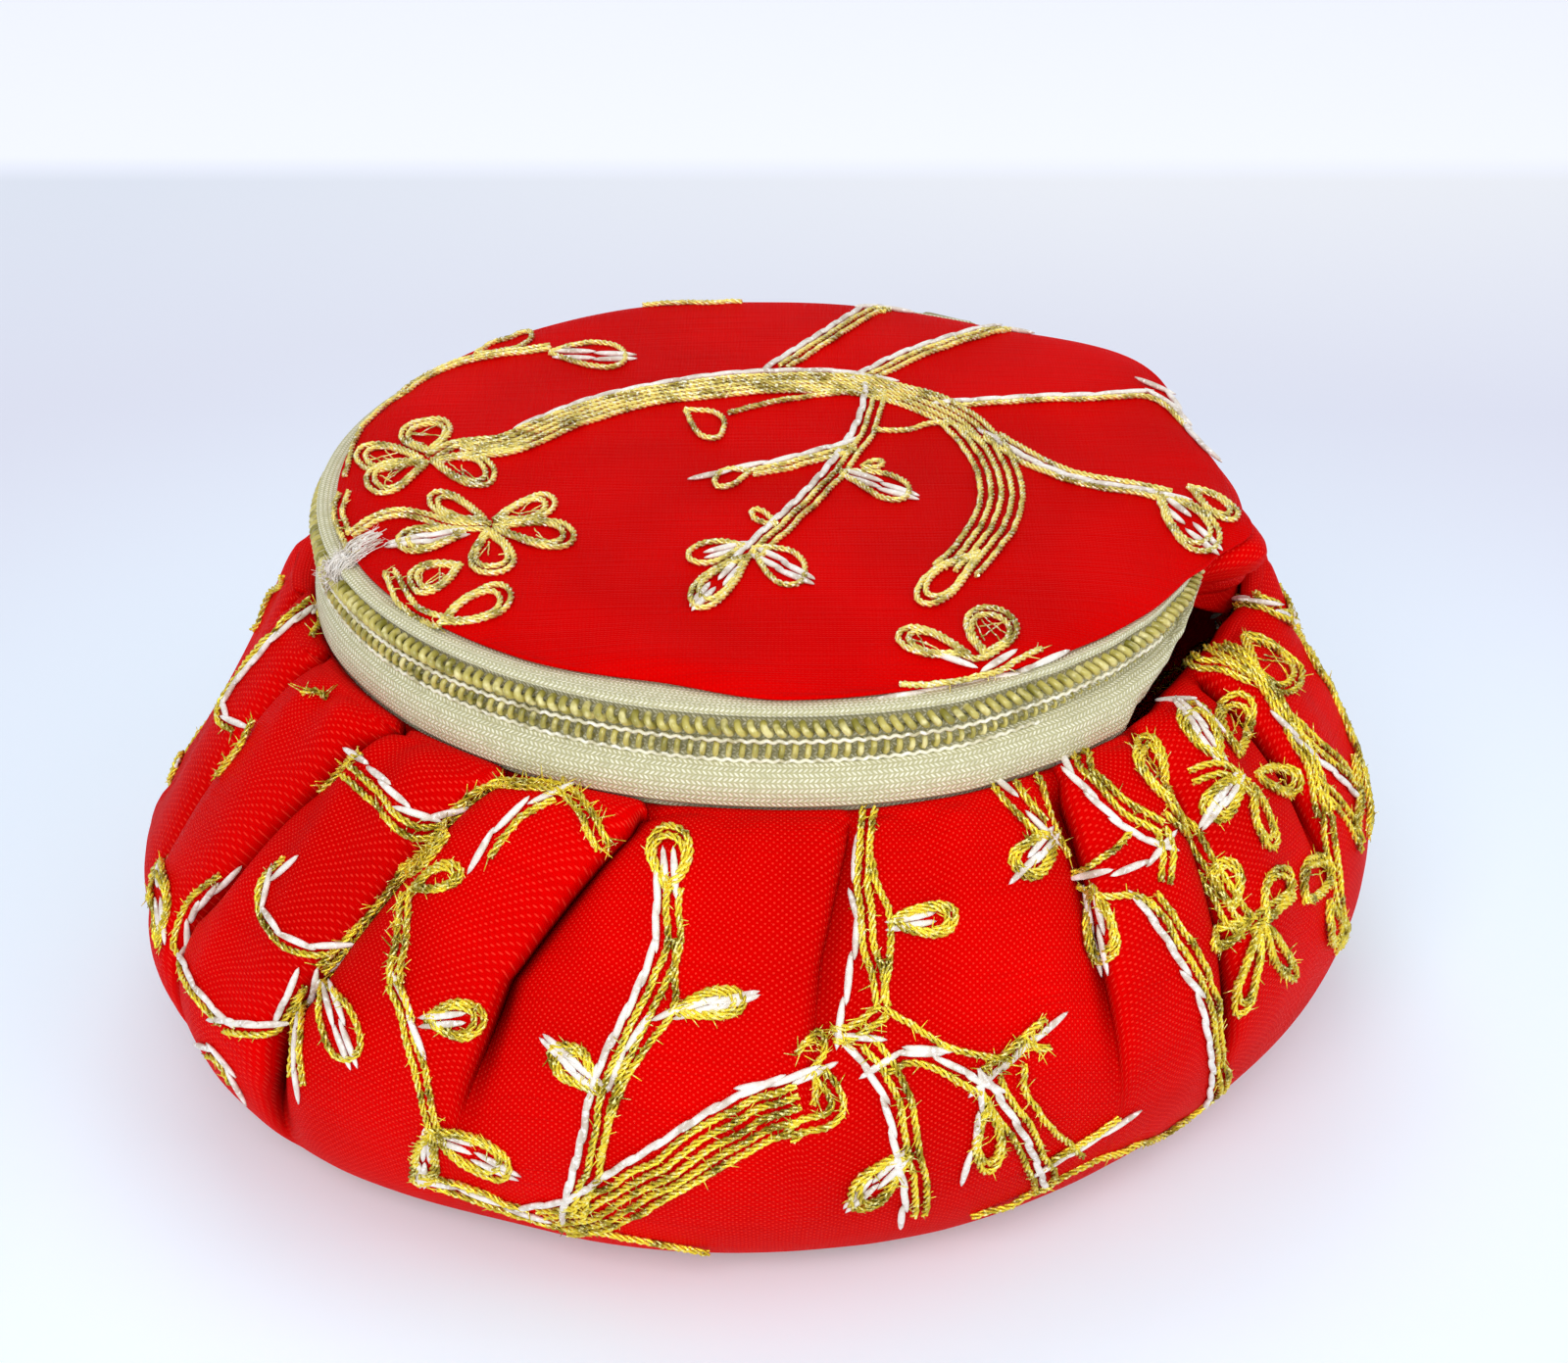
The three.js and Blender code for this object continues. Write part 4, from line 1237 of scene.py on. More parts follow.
def makeSlider():
    half = slider["length"] / 2
    tall = slider["height"] / 2
    narrow = tall * slider["taper"]
    depth = slider["depth"]
    plate = slider["plate"]
    rail = slider["rail"]
    inPlate = plate * slider["inPlate"]
    shape = bmesh.new()
    face = roundCorners([(-half, -tall), (half, -narrow), (half, narrow), (-half, tall)],
                        slider["faceRound"])
    addPlate(shape, face, depth - plate, depth)
    addPlate(shape, face, 0, plate)
    wide = slider["wedge"]
    inset = -half + slider["wedgeInset"]
    wedge = roundCorners([(inset, -wide), (-half / 3, 0), (inset, wide)], slider["wedgeRound"])
    addPlate(shape, wedge, inPlate, depth - inPlate)
    start = -half * slider["railStart"]
    end = half * slider["railEnd"]
    for side in (-1, 1):
        edge = [(start, side * (tall - slider["railInset"])), (end, side * narrow),
                (end, side * (narrow - rail)), (start, side * (tall - rail - slider["railInset"]))]
        edge = roundCorners(edge, slider["railRound"])
        addPlate(shape, edge, depth - plate - rail, depth - inPlate)
        addPlate(shape, edge, inPlate, plate + rail)
    turn = np.linspace(0, math.pi, 13)
    reach = tall * slider["bridgeShare"]
    arches = []
    for thinner in (0, slider["bridgeThickness"]):
        across = (reach - thinner) * np.cos(turn)
        out = depth - slider["sunk"] + (slider["bridgeReach"] - thinner) * np.sin(turn)
        arches.append(np.stack([across, out], -1))
    bridge = np.vstack([arches[0], arches[1][::-1]])
    halfBridge = slider["bridgeWidth"] / 2
    addPlate(shape, bridge, -halfBridge, halfBridge, upright=True)
    neck = slider["pullNeck"] / 2
    wide = slider["pullWidth"] / 2
    top = slider["pullTop"]
    foot = -slider["pullLength"]
    pull = roundCorners([(-wide, foot), (wide, foot), (neck, top), (-neck, top)], slider["pullRound"], 9)
    wide = slider["holeWidth"] / 2
    top = top - slider["holeInset"]
    foot = top - slider["holeLength"]
    hole = roundCorners([(-wide, foot), (wide, foot), (wide, top), (-wide, top)], slider["holeRound"], 9)
    thick = slider["pullThickness"] / 2
    turned = Matrix.Rotation(math.radians(slider["pullTilt"]), 4, "X")
    addPlate(shape, pull, -thick, thick, hole, Matrix.Translation((0, depth + thick, 0)) @ turned)
    bmesh.ops.recalc_face_normals(shape, faces=shape.faces)
    centre = polar(body["zip"] + body["gap"], sliderCentre, chainMiddle - slider["lowered"])
    place = Matrix.Translation(Vector(centre)) @ Matrix.Rotation(math.radians(sliderCentre - 90), 4, "Z")
    bmesh.ops.transform(shape, matrix=place, verts=shape.verts)
    mesh = bpy.data.meshes.new("slider")
    shape.to_mesh(mesh)
    shape.free()
    piece = showPiece("slider", mesh, zipMetal)
    bevel = piece.modifiers.new("rounded edges", "BEVEL")
    bevel.width = slider["bevel"]
    bevel.segments = 2
    bevel.limit_method = "ANGLE"
    bevel.harden_normals = True
    return piece


zipSlider = makeSlider()
print("slider made")


base = {
    "columns": 240,
    "rings": 20,
    "edge": 0.8 * mm,
    "edgeTurns": (18, 162),  # degrees over which the edge is rounded
    "pucker": 0.25 * mm,
}


def makeBase():
    azimuth = np.linspace(0, 360, base["columns"], endpoint=False)[None, :]
    foot = bodyProfile(azimuth, np.ones_like(azimuth))[0] - body["hem"] - body["gap"] * 1.5
    share = np.linspace(0, 1, base["rings"])[1:, None]
    puckered = (softWaves(azimuth * 0.3, share, 1.0, 3.0, 51) + 2) / 2
    pucker = puckered * base["pucker"] * ease((share - 0.5) / 0.4)
    inner = foot - base["edge"]
    upper = polar(inner * share, azimuth, baseTop - pucker * 0.5, 0)
    turn = np.radians(np.linspace(*base["edgeTurns"], 7))[:, None]
    half = baseTop / 2
    edge = polar(inner + base["edge"] * np.sin(turn), azimuth, half + half * np.cos(turn), 0)
    lower = polar(inner * share[::-1], azimuth, pucker[::-1] * (1 - share[::-1] ** 12), 0)
    points = np.concatenate([upper, edge, lower])
    corners = np.concatenate([points[..., :2], points[:, :1, :2]], 1)
    return gridMesh("base_cloth", points, corners, False, True, [(0, 0, baseTop), (0, 0, 0)])


baseCloth = showPiece("base_cloth", makeBase(), bodyRed)


# Embroidery. Each line is its strands from left to right, g gold and w white, then how much loose
# thread stands out of it, then its route. Routes and petals are laid out in pixels of the
# photograph's frame and thrown through the camera onto the cloth.
threads = {
    "spacing": 1.12 * mm,
    "stand": 0.3 * mm,  # how far the middle of a cord stands off the cloth
    "step": 0.8 * mm,
    "pixelStep": 5,
    "petalSteps": 30,
    "lidGold": {"Pitch": 2.4 * mm, "Ply Radius": 0.17 * mm, "Spread": 0.22 * mm, "Step": 0.6 * mm,
                "Stray": 0.6 * mm},
    "gold": {"Pitch": 2.8 * mm, "Ply Radius": 0.17 * mm, "Spread": 0.27 * mm, "Step": 0.62 * mm,
             "Stray": 1.2 * mm},
    "backStep": 0.8 * mm,
    "white": {"Pitch": 3.4 * mm, "Length": 5.4 * mm, "Width": 0.77 * mm, "Height": 0.6 * mm,
              "Slant": 0.09},
    "filament": {"Pitch": 1.6 * mm, "Ply Radius": 0.09 * mm, "Spread": 0.05 * mm, "Step": 0.6 * mm,
                 "Stray": 0.5 * mm},
    "bristle": {"Spacing": 0.7 * mm, "Share": 0.45, "Length": 1.5 * mm, "Thickness": 0.1 * mm,
                "Rise": 0.3},
    "tuft": {"Spacing": 0.28 * mm, "Share": 0.9, "Length": 2.0 * mm, "Thickness": 0.11 * mm,
             "Rise": 0.5},
    "tuftFringe": 0.7,  # lines whose fringe is at least this carry tufts, and the others bristles
    "petalBulge": 1.15,
    "petalMiddle": 0.4,  # inner cords shrink towards this share of the petal's length
    "petalStep": 0.22,  # each inner cord is smaller by this share
    "whiteShifts": (-0.1, 0.12),  # white stitches in a petal, in shares of its width
    "whiteRun": (0.3, 0.55, 0.82),  # and of its length
    "filaments": 6,
    "filamentRun": (0.25, 0.9),
    "filamentSpread": (-0.36, 0.36),
    "tries": 12,  # a pixel beside the cloth is moved in this often
    "tryStep": 3,  # by this many pixels
}

lidLines = {
    "arch": ("ggggg", 0, [(470, 462), (520, 455), (560, 438), (610, 420), (660, 407), (720, 399),
                          (780, 394), (840, 393), (890, 398), (930, 408), (970, 425), (1000, 452),
                          (1016, 480), (1022, 510), (1012, 540), (996, 562), (975, 585)]),
    "archEdge": ("w", 0, [(540, 433), (600, 410), (660, 396), (720, 386), (780, 381), (850, 381),
                          (895, 388)]),
    "edge": ("g", 0, [(352, 488), (362, 455), (380, 424), (402, 400)]),
    "backSprig": ("gg", 0, [(402, 401), (430, 388), (470, 372), (520, 362), (562, 356)]),
    "backEdge": ("g", 0, [(655, 308), (700, 305), (730, 305), (757, 301)]),
    "blossomStem": ("gg", 0, [(440, 468), (470, 455), (510, 462), (540, 455)]),
    "leftStem": ("gg", 0, [(500, 540), (460, 538), (420, 526), (385, 530), (358, 548)]),
    "leftEdgeLoops": ("gg", 0.3, [(352, 505), (345, 525), (352, 545), (362, 568)]),
    "lowLeft": ("gg", 0.3, [(398, 585), (410, 610), (430, 628), (452, 636)]),
    "topRay": ("wgg", 0, [(912, 307), (880, 322), (852, 340), (825, 357), (795, 376)]),
    "rightRay": ("wgg", 0, [(1034, 334), (1000, 341), (960, 353), (920, 368), (885, 386)]),
    "loopLine": ("g", 0, [(742, 424), (780, 414), (820, 407), (870, 402)]),
    "sideTwig": ("wgg", 0, [(868, 458), (838, 466), (800, 476), (766, 482)]),
    "whiteEnd": ("w", 0, [(724, 487), (698, 491)]),
    "downTwig": ("wgg", 0, [(893, 400), (888, 425), (876, 450), (856, 478), (832, 505), (806, 530),
                            (782, 552), (765, 568)]),
    "thinTwig": ("g", 0, [(890, 441), (925, 441), (955, 433), (980, 438), (1004, 458)]),
    "farRay": ("gw", 0, [(972, 414), (1020, 411), (1070, 408), (1120, 407), (1165, 404), (1190, 415),
                         (1212, 438)]),
    "farEdge": ("w", 0, [(1178, 396), (1200, 408), (1218, 434), (1232, 462)]),
    "lowRay": ("gwg", 0, [(1012, 448), (1045, 468), (1080, 484), (1120, 495), (1160, 501), (1192, 508)]),
    "frontTail": ("gw", 0.4, [(1066, 668), (1030, 684), (995, 696), (955, 701), (918, 705)]),
    "frontKnot": ("wg", 0.4, [(975, 672), (995, 680), (1015, 672)]),
}

# Petals: root, tip and width in pixels, cords in the outline, and f filaments or w white inside
lidPetals = [
    (562, 362, 642, 366, 30, 1, "w"), (486, 363, 545, 341, 20, 1, ""),
    (440, 464, 432, 431, 62, 2, "f"), (432, 470, 362, 468, 30, 2, "f"), (436, 474, 374, 498, 34, 2, "f"),
    (440, 472, 507, 488, 34, 2, "f"), (504, 534, 570, 512, 26, 2, "f"), (504, 540, 588, 551, 32, 2, "f"),
    (500, 543, 504, 588, 54, 2, "f"), (476, 546, 405, 556, 28, 2, "w"), (496, 534, 437, 509, 28, 2, "f"),
    (470, 578, 418, 600, 34, 2, "f"), (450, 637, 522, 606, 34, 2, ""), (700, 420, 738, 446, 34, 1, ""),
    (766, 482, 726, 496, 22, 1, ""), (760, 560, 700, 571, 26, 1, "w"), (764, 570, 706, 620, 34, 2, "w"),
    (768, 562, 822, 592, 40, 1, "w"), (792, 538, 766, 522, 16, 1, ""), (858, 482, 930, 508, 28, 1, "w"),
    (880, 478, 906, 474, 10, 1, ""), (1000, 566, 936, 617, 34, 2, ""), (1180, 504, 1240, 562, 44, 2, "w"),
    (1212, 498, 1264, 532, 22, 2, ""), (988, 670, 915, 650, 28, 2, "f"), (1004, 672, 1016, 624, 60, 2, "f"),
]

# The body's embroidery, in groups that can be repeated round the back
bodyMotifs = {
    "farLeft": {
        "lines": [
            ("gw", 0.1, [(318, 618), (297, 635), (270, 661), (246, 690), (232, 712), (228, 732),
                         (240, 742)]),
            ("g", 0.8, [(262, 738), (250, 760), (236, 778), (223, 793)]),
            ("g", 0.5, [(322, 620), (324, 640), (318, 650)]),
            ("g", 0.8, [(310, 708), (322, 702), (332, 714)]),
            ("g", 0, [(292, 592), (270, 616), (260, 645)]),
            ("gw", 0.1, [(228, 894), (204, 914), (190, 935), (185, 962), (190, 990), (206, 1018),
                         (226, 1040)]),
            ("gw", 0.1, [(292, 882), (272, 900), (270, 930), (284, 955), (310, 968), (338, 968)]),
            ("gw", 0.2, [(228, 1046), (254, 1050), (278, 1048), (290, 1030), (302, 1008)]),
            ("gw", 0.2, [(212, 1072), (226, 1080), (240, 1106)]),
        ],
        "petals": [(166, 966, 164, 878, 20, 2, "w")],
    },
    "leftSpray": {
        "lines": [
            ("ggw", 0.4, [(358, 782), (384, 804), (408, 831), (430, 844), (456, 838)]),
            ("g", 0.9, [(326, 806), (345, 788), (370, 772)]),
            ("gg", 1, [(455, 842), (478, 816), (505, 804), (545, 802), (580, 812), (600, 836), (616, 864)]),
            ("gw", 0.6, [(496, 872), (512, 850), (534, 830), (565, 815)]),
            ("ggg", 1, [(458, 848), (438, 872), (414, 896), (394, 920), (376, 944), (354, 968),
                        (330, 988)]),
            ("gg", 0.8, [(416, 910), (412, 944), (408, 974), (407, 1002)]),
            ("w", 0, [(350, 976), (330, 990), (318, 1012)]),
            ("gwg", 0.5, [(320, 1004), (309, 1036), (303, 1068), (304, 1102)]),
            ("gg", 0.3, [(404, 1002), (414, 1034), (422, 1064), (431, 1098), (438, 1130), (444, 1150)]),
            ("w", 0, [(410, 1010), (418, 1030), (426, 1056)]),
            ("gwg", 0.4, [(446, 1206), (480, 1215), (512, 1228), (540, 1238)]),
        ],
        "petals": [
            (420, 908, 474, 886, 30, 2, ""), (334, 1000, 358, 1080, 42, 1, "w"),
            (434, 1040, 494, 1040, 42, 2, "w"), (440, 1150, 522, 1198, 36, 2, "w"),
            (440, 1150, 430, 1208, 30, 2, "w"),
        ],
    },
    "branch": {
        "lines": [
            ("wgg", 0.15, [(683, 908), (682, 940), (679, 968), (668, 1000), (654, 1030), (640, 1058),
                           (626, 1086), (614, 1120), (608, 1152), (600, 1186), (592, 1214), (586, 1240)]),
            ("g", 0.1, [(686, 960), (688, 1000), (690, 1026), (680, 1046), (662, 1066), (646, 1092),
                        (632, 1116), (622, 1146), (612, 1180)]),
            ("w", 0, [(690, 1030), (664, 1040), (646, 1060), (630, 1090)]),
        ],
        "petals": [
            (683, 910, 685, 846, 46, 2, "w"), (690, 1032, 762, 1018, 36, 2, "w"),
            (614, 1114, 564, 1066, 38, 2, "w"),
        ],
    },
    "bundle": {
        "lines": [
            ("gggggw", 0.05, [(560, 1244), (600, 1238), (645, 1212), (690, 1186), (740, 1156), (780, 1136),
                              (818, 1124)]),
            ("gg", 0.5, [(835, 1096), (850, 1112), (855, 1132), (838, 1144), (818, 1146), (804, 1160)]),
            ("w", 0, [(776, 1106), (806, 1104), (830, 1095)]),
            ("g", 1, [(812, 1076), (824, 1060), (838, 1050), (841, 1074), (829, 1088)]),
            ("g", 0.8, [(826, 1092), (836, 1110), (832, 1128)]),
            ("g", 0, [(530, 1240), (570, 1250), (620, 1256), (668, 1266), (724, 1274)]),
        ],
        "petals": [],
    },
    "stem": {
        "lines": [
            ("gg", 0.05, [(888, 822), (886, 850), (884, 880), (883, 912), (886, 944), (890, 974),
                          (895, 1002), (899, 1026)]),
            ("w", 0, [(874, 876), (870, 905), (875, 932)]),
            ("w", 0, [(875, 952), (869, 985), (863, 1016), (857, 1044)]),
            ("g", 0.1, [(890, 872), (900, 908), (909, 940), (910, 966), (904, 996), (900, 1022)]),
            ("gg", 0.7, [(850, 1056), (874, 1050), (900, 1030)]),
            ("g", 0.1, [(900, 1026), (926, 1046), (960, 1064), (992, 1076), (1030, 1080)]),
            ("w", 0, [(878, 1058), (912, 1064), (946, 1070)]),
            ("gw", 0.1, [(902, 1090), (926, 1079), (954, 1084), (980, 1098), (1002, 1110)]),
            ("wgg", 0.1, [(880, 1066), (900, 1092), (914, 1122), (922, 1156), (928, 1188), (934, 1214),
                          (930, 1238)]),
            ("w", 0, [(1000, 1112), (998, 1140), (993, 1168), (985, 1190)]),
            ("gwg", 0.2, [(1010, 1106), (1026, 1130), (1044, 1158), (1056, 1184), (1064, 1206)]),
            ("wg", 1, [(1004, 1096), (1028, 1076), (1050, 1056), (1066, 1044)]),
            ("g", 1, [(1040, 1056), (1056, 1070), (1070, 1066)]),
            ("g", 0.6, [(1044, 1084), (1044, 1108), (1060, 1134), (1080, 1158), (1102, 1176)]),
        ],
        "petals": [
            (908, 942, 976, 936, 38, 2, "w"), (929, 1176, 866, 1228, 36, 2, "w"),
            (1008, 1122, 1007, 1194, 32, 2, ""),
        ],
    },
    "rightCurve": {
        "lines": [
            ("gwg", 0.3, [(1016, 794), (1036, 818), (1062, 846)]),
            ("g", 0.4, [(1054, 788), (1066, 820), (1078, 850), (1088, 874)]),
            ("wgg", 0.05, [(1086, 772), (1108, 794), (1130, 818), (1154, 838), (1182, 850)]),
            ("g", 0.2, [(1152, 850), (1132, 870), (1112, 884), (1092, 890)]),
            ("w", 0, [(1184, 866), (1160, 884), (1114, 892)]),
            ("g", 0.5, [(1098, 902), (1128, 916), (1158, 912), (1176, 924)]),
            ("wgg", 0.05, [(1172, 918), (1194, 948), (1214, 980), (1229, 1012), (1237, 1050),
                           (1241, 1086), (1240, 1120)]),
            ("g", 0.2, [(1238, 1122), (1202, 1150), (1160, 1166), (1120, 1182), (1078, 1202),
                        (1036, 1222), (990, 1240)]),
            ("wg", 0.3, [(1072, 1184), (1106, 1164), (1142, 1142)]),
        ],
        "petals": [(1076, 852, 1036, 890, 42, 2, "w"), (1114, 904, 1126, 984, 42, 2, "w")],
    },
    "rightSpray": {
        "lines": [
            ("gwg", 0.3, [(1250, 622), (1284, 616), (1316, 636)]),
            ("ggg", 0.3, [(1240, 660), (1274, 682), (1300, 716), (1322, 752), (1340, 790), (1350, 830)]),
            ("gg", 0.3, [(1176, 702), (1210, 682), (1246, 680), (1272, 694)]),
            ("w", 0.2, [(1200, 716), (1218, 720), (1234, 734)]),
            ("gg", 0.3, [(1216, 792), (1246, 786), (1272, 802)]),
            ("ggg", 0.3, [(1190, 822), (1206, 844), (1222, 872), (1242, 904), (1258, 932), (1272, 946)]),
            ("gg", 0.3, [(1182, 846), (1192, 872), (1188, 900)]),
            ("gg", 0.3, [(1350, 830), (1358, 868), (1364, 908), (1368, 944), (1364, 968)]),
            ("gg", 0.2, [(1340, 640), (1360, 680), (1380, 722), (1393, 762), (1397, 806), (1394, 850)]),
            ("wgg", 0.4, [(1312, 734), (1336, 760), (1360, 780), (1378, 800)]),
            ("gg", 0.4, [(1380, 772), (1384, 812), (1382, 850)]),
            ("gg", 0.4, [(1340, 800), (1372, 830), (1386, 864)]),
            ("gg", 0.4, [(1272, 946), (1290, 930), (1318, 910)]),
        ],
        "petals": [
            (1268, 650, 1322, 704, 42, 2, "f"), (1244, 776, 1206, 720, 34, 2, "w"),
            (1262, 772, 1258, 706, 42, 2, "f"),
            (1190, 820, 1164, 752, 36, 2, "f"), (1266, 792, 1230, 836, 36, 2, "w"),
            (1280, 790, 1326, 802, 36, 2, "f"),
            (1274, 800, 1298, 868, 22, 2, ""), (1256, 926, 1246, 876, 34, 2, "f"),
            (1290, 940, 1310, 884, 30, 2, ""),
            (1330, 922, 1350, 874, 38, 2, "f"), (1270, 936, 1234, 968, 22, 2, ""),
            (1286, 942, 1320, 1002, 20, 2, ""),
            (1283, 946, 1264, 1036, 20, 2, ""), (1354, 920, 1366, 968, 22, 2, ""),
        ],
    },
}

# The back repeats the front's groups: the group's own middle in pixels, then azimuth, height of
# its middle in degrees up from the belly, and 1 or -1 to turn it over
backRepeats = [
    ("stem", (930, 1040), 28, 2, -1), ("branch", (660, 1040), 62, 2, 1), ("stem", (930, 1040), 96, 2, 1),
    ("leftSpray", (420, 1000), 142, 2, -1), ("branch", (660, 1040), 168, 2, -1),
    ("rightSpray", (1270, 830), 2, 2, -1),
]


backView = {
    "pixel": 0.11 * mm,  # width of a pixel on the back
    "pixelRise": 0.09,  # degrees up for each pixel
    "distance": 0.2,
}


# The ray from the camera through a pixel of the photograph's frame
def photoRay(pixel):
    focal = camera["lens"] / camera["sensor"] * camera["width"]
    down = math.radians(camera["down"])
    forward = Vector((0, math.cos(down), -math.sin(down)))
    upward = Vector((0, math.sin(down), math.cos(down)))
    right = (pixel[0] - camera["targetPixel"][0]) / focal
    rise = (camera["targetPixel"][1] - pixel[1]) / focal
    origin = Vector(camera["target"]) - forward * camera["distance"]
    return origin, (forward + Vector((right, 0, 0)) + upward * rise).normalized()


# Throws a pixel onto a cloth, and near its edge tries a little further in
def photoPlace(surface, pixel):
    middle = Vector(camera["targetPixel"])
    place = Vector(pixel[:2])
    for _ in range(threads["tries"]):
        found = surface.ray_cast(*photoRay(place))
        if found[0] is not None:
            return found[0], found[1]
        place = place + (middle - place).normalized() * threads["tryStep"]
    return None


# The same for a group turned round to the back, on rays that point at the middle of the belly
def backPlace(repeat):
    _, middle, azimuth, rise, side = repeat
    aim = Vector((0, 0, body["belly"]))

    def place(surface, pixel):
        across = (pixel[0] - middle[0]) * backView["pixel"] / body["radius"] * side
        turn = math.radians(azimuth) + across
        up = math.radians(rise - (pixel[1] - middle[1]) * backView["pixelRise"])
        away = Vector((math.cos(turn) * math.cos(up), math.sin(turn) * math.cos(up), math.sin(up)))
        found = surface.ray_cast(aim + away * backView["distance"], -away)
        return None if found[0] is None else (found[0], found[1])

    return place


def surfaceTree(*pieces):
    points = []
    faces = []
    for piece in pieces:
        start = len(points)
        points.extend(vertex.co for vertex in piece.data.vertices)
        faces.extend([start + corner for corner in face.vertices] for face in piece.data.polygons)
    return BVHTree.FromPolygons(points, faces)


# Evenly spaced points along a smooth curve through a few
def throughPoints(points, step):
    points = np.array(points, float)
    if len(points) < 3:
        count = max(2, int(np.linalg.norm(points[-1] - points[0]) / step) + 1)
        return points[0] + (points[-1] - points[0]) * np.linspace(0, 1, count)[:, None]
    padded = np.vstack([2 * points[0] - points[1], points, 2 * points[-1] - points[-2]])
    curve = []
    for here in range(1, len(padded) - 2):
        a, b, c, d = padded[here - 1:here + 3]
        for t in np.linspace(0, 1, 12, endpoint=False):
            curve.append(0.5 * (2 * b + (c - a) * t + (2 * a - 5 * b + 4 * c - d) * t * t
                                + (3 * b - a - 3 * c + d) * t ** 3))
    return evenly(np.array(curve + [points[-1]]), step)


def evenly(points, step):
    lengths = np.linalg.norm(np.diff(points, axis=0), axis=1)
    run = np.concatenate([[0], np.cumsum(lengths)])
    count = max(2, int(run[-1] / step) + 1)
    at = np.linspace(0, run[-1], count)
    return np.stack([np.interp(at, run, points[:, axis]) for axis in range(points.shape[1])], -1)


def smoothed(points, rounds):
    points = np.array(points, float)
    for _ in range(rounds):
        points[1:-1] = (points[:-2] + 2 * points[1:-1] + points[2:]) / 4
    return points


# A route's strand on the cloth, set to one side of the route, with the cloth's direction
def layStrand(surface, place, route, aside, stand):
    hits = [place(surface, pixel) for pixel in throughPoints(route, threads["pixelStep"])]
    hits = [hit for hit in hits if hit is not None]
    if len(hits) < 3:
        return None
    points = smoothed([hit[0] for hit in hits], 3)
    normals = smoothed([hit[1] for hit in hits], 4)
    joined = evenly(np.hstack([points, normals]), threads["step"])
    points, normals = joined[:, :3], joined[:, 3:]
    side = np.cross(np.gradient(points, axis=0), normals)
    side /= np.maximum(np.linalg.norm(side, axis=1, keepdims=True), 1e-9)
    laid = []
    for point in points + side * aside:
        spot, normal, _, _ = surface.find_nearest(Vector(point))
        laid.append([*spot, *normal])
    laid = np.array(laid)
    normals = smoothed(laid[:, 3:], 6)
    normals /= np.maximum(np.linalg.norm(normals, axis=1, keepdims=True), 1e-9)
    return smoothed(laid[:, :3], 2) + normals * stand, normals


def petalOutline(root, tip, width, share):
    root = np.array(root, float)
    reach = np.array(tip, float) - root
    aside = np.array([-reach[1], reach[0]]) / np.linalg.norm(reach)
    turn = np.linspace(0, tau, threads["petalSteps"])
    forward = (1 - np.cos(turn)) / 2
    across = np.sin(turn) * np.sqrt(forward) * width / 2 * threads["petalBulge"]
    onwards = forward * share + (1 - share) * threads["petalMiddle"]
    return root + reach * onwards[:, None] + aside * (across * share)[:, None]


# Lays a set of lines and petals, and sorts the strands by what grows on them
def layThreads(surface, place, lines, petals, laid, seed):
    draw = np.random.default_rng(seed)
    for strands, fringe, route in lines:
        for index, kind in enumerate(strands):
            aside = ((len(strands) - 1) / 2 - index) * threads["spacing"]
            strand = layStrand(surface, place, route, aside, threads["stand"])
            if strand is None:
                continue
            laid["gold" if kind == "g" else "white"].append(strand)
            if fringe >= threads["tuftFringe"]:
                laid["tuft"].append(strand)
            elif fringe > 0 and kind == "g":
                laid["bristle"].append(strand)
    for rootX, rootY, tipX, tipY, width, cords, fill in petals:
        root = np.array((rootX, rootY), float)
        tip = np.array((tipX, tipY), float)
        for cord in range(cords):
            outline = petalOutline(root, tip, width, 1 - threads["petalStep"] * cord)
            strand = layStrand(surface, place, outline, 0, threads["stand"])
            if strand is not None:
                laid["gold"].append(strand)
                laid["petal"].append(strand)
        reach = tip - root
        aside = np.array([-reach[1], reach[0]]) / np.linalg.norm(reach) * width
        if fill == "w":
            near, middle, far = threads["whiteRun"]
            for shift in threads["whiteShifts"]:
                inside = [root + reach * near + aside * shift, root + reach * middle + aside * shift,
                          root + reach * far + aside * shift * 0.8]
                strand = layStrand(surface, place, inside, 0, threads["stand"] * 0.8)
                if strand is not None:
                    laid["white"].append(strand)
        if fill == "f":
            for _ in range(threads["filaments"]):
                ends = []
                for _ in range(2):
                    end = root + reach * draw.uniform(*threads["filamentRun"])
                    ends.append(end + aside * draw.uniform(*threads["filamentSpread"]))
                strand = layStrand(surface, place, ends, 0, threads["stand"])
                if strand is not None:
                    laid["filament"].append(strand)


def newThreads():
    return {kind: [] for kind in ("gold", "white", "filament", "petal", "bristle", "tuft")}


# Grows the cords, stitches, filaments and loose ends of one part of the bag
def makeThreads(part, laid):
    made = []

    def grow(name, lines, tree, values, material):
        if lines:
            piece = growPiece(linePiece(part + name, lines), tree, dict(values, Material=material))
            made.append(piece)

    onTop = part == "lid"
    gold = dict(threads["lidGold" if onTop else "gold"])
    if part == "back":
        gold["Step"] = threads["backStep"]
    goldMaterial = litLidGoldThread if onTop else goldThread
    fraying = laid["bristle"] + laid["petal"] * (part != "lid")
    grow("_gold_cords", laid["gold"], cordTree, gold, goldMaterial)
    grow("_white_stitches", laid["white"], linkTree, threads["white"], whiteThread)
    grow("_gold_filaments", laid["filament"], filamentTree, threads["filament"], goldMaterial)
    grow("_loose_ends", fraying, bristleTree, threads["bristle"], goldMaterial)
    grow("_gold_tufts", laid["tuft"], bristleTree, threads["tuft"], goldThread)
    for piece in made:
        print(piece.name, len(piece.data.polygons), "faces")
    return made


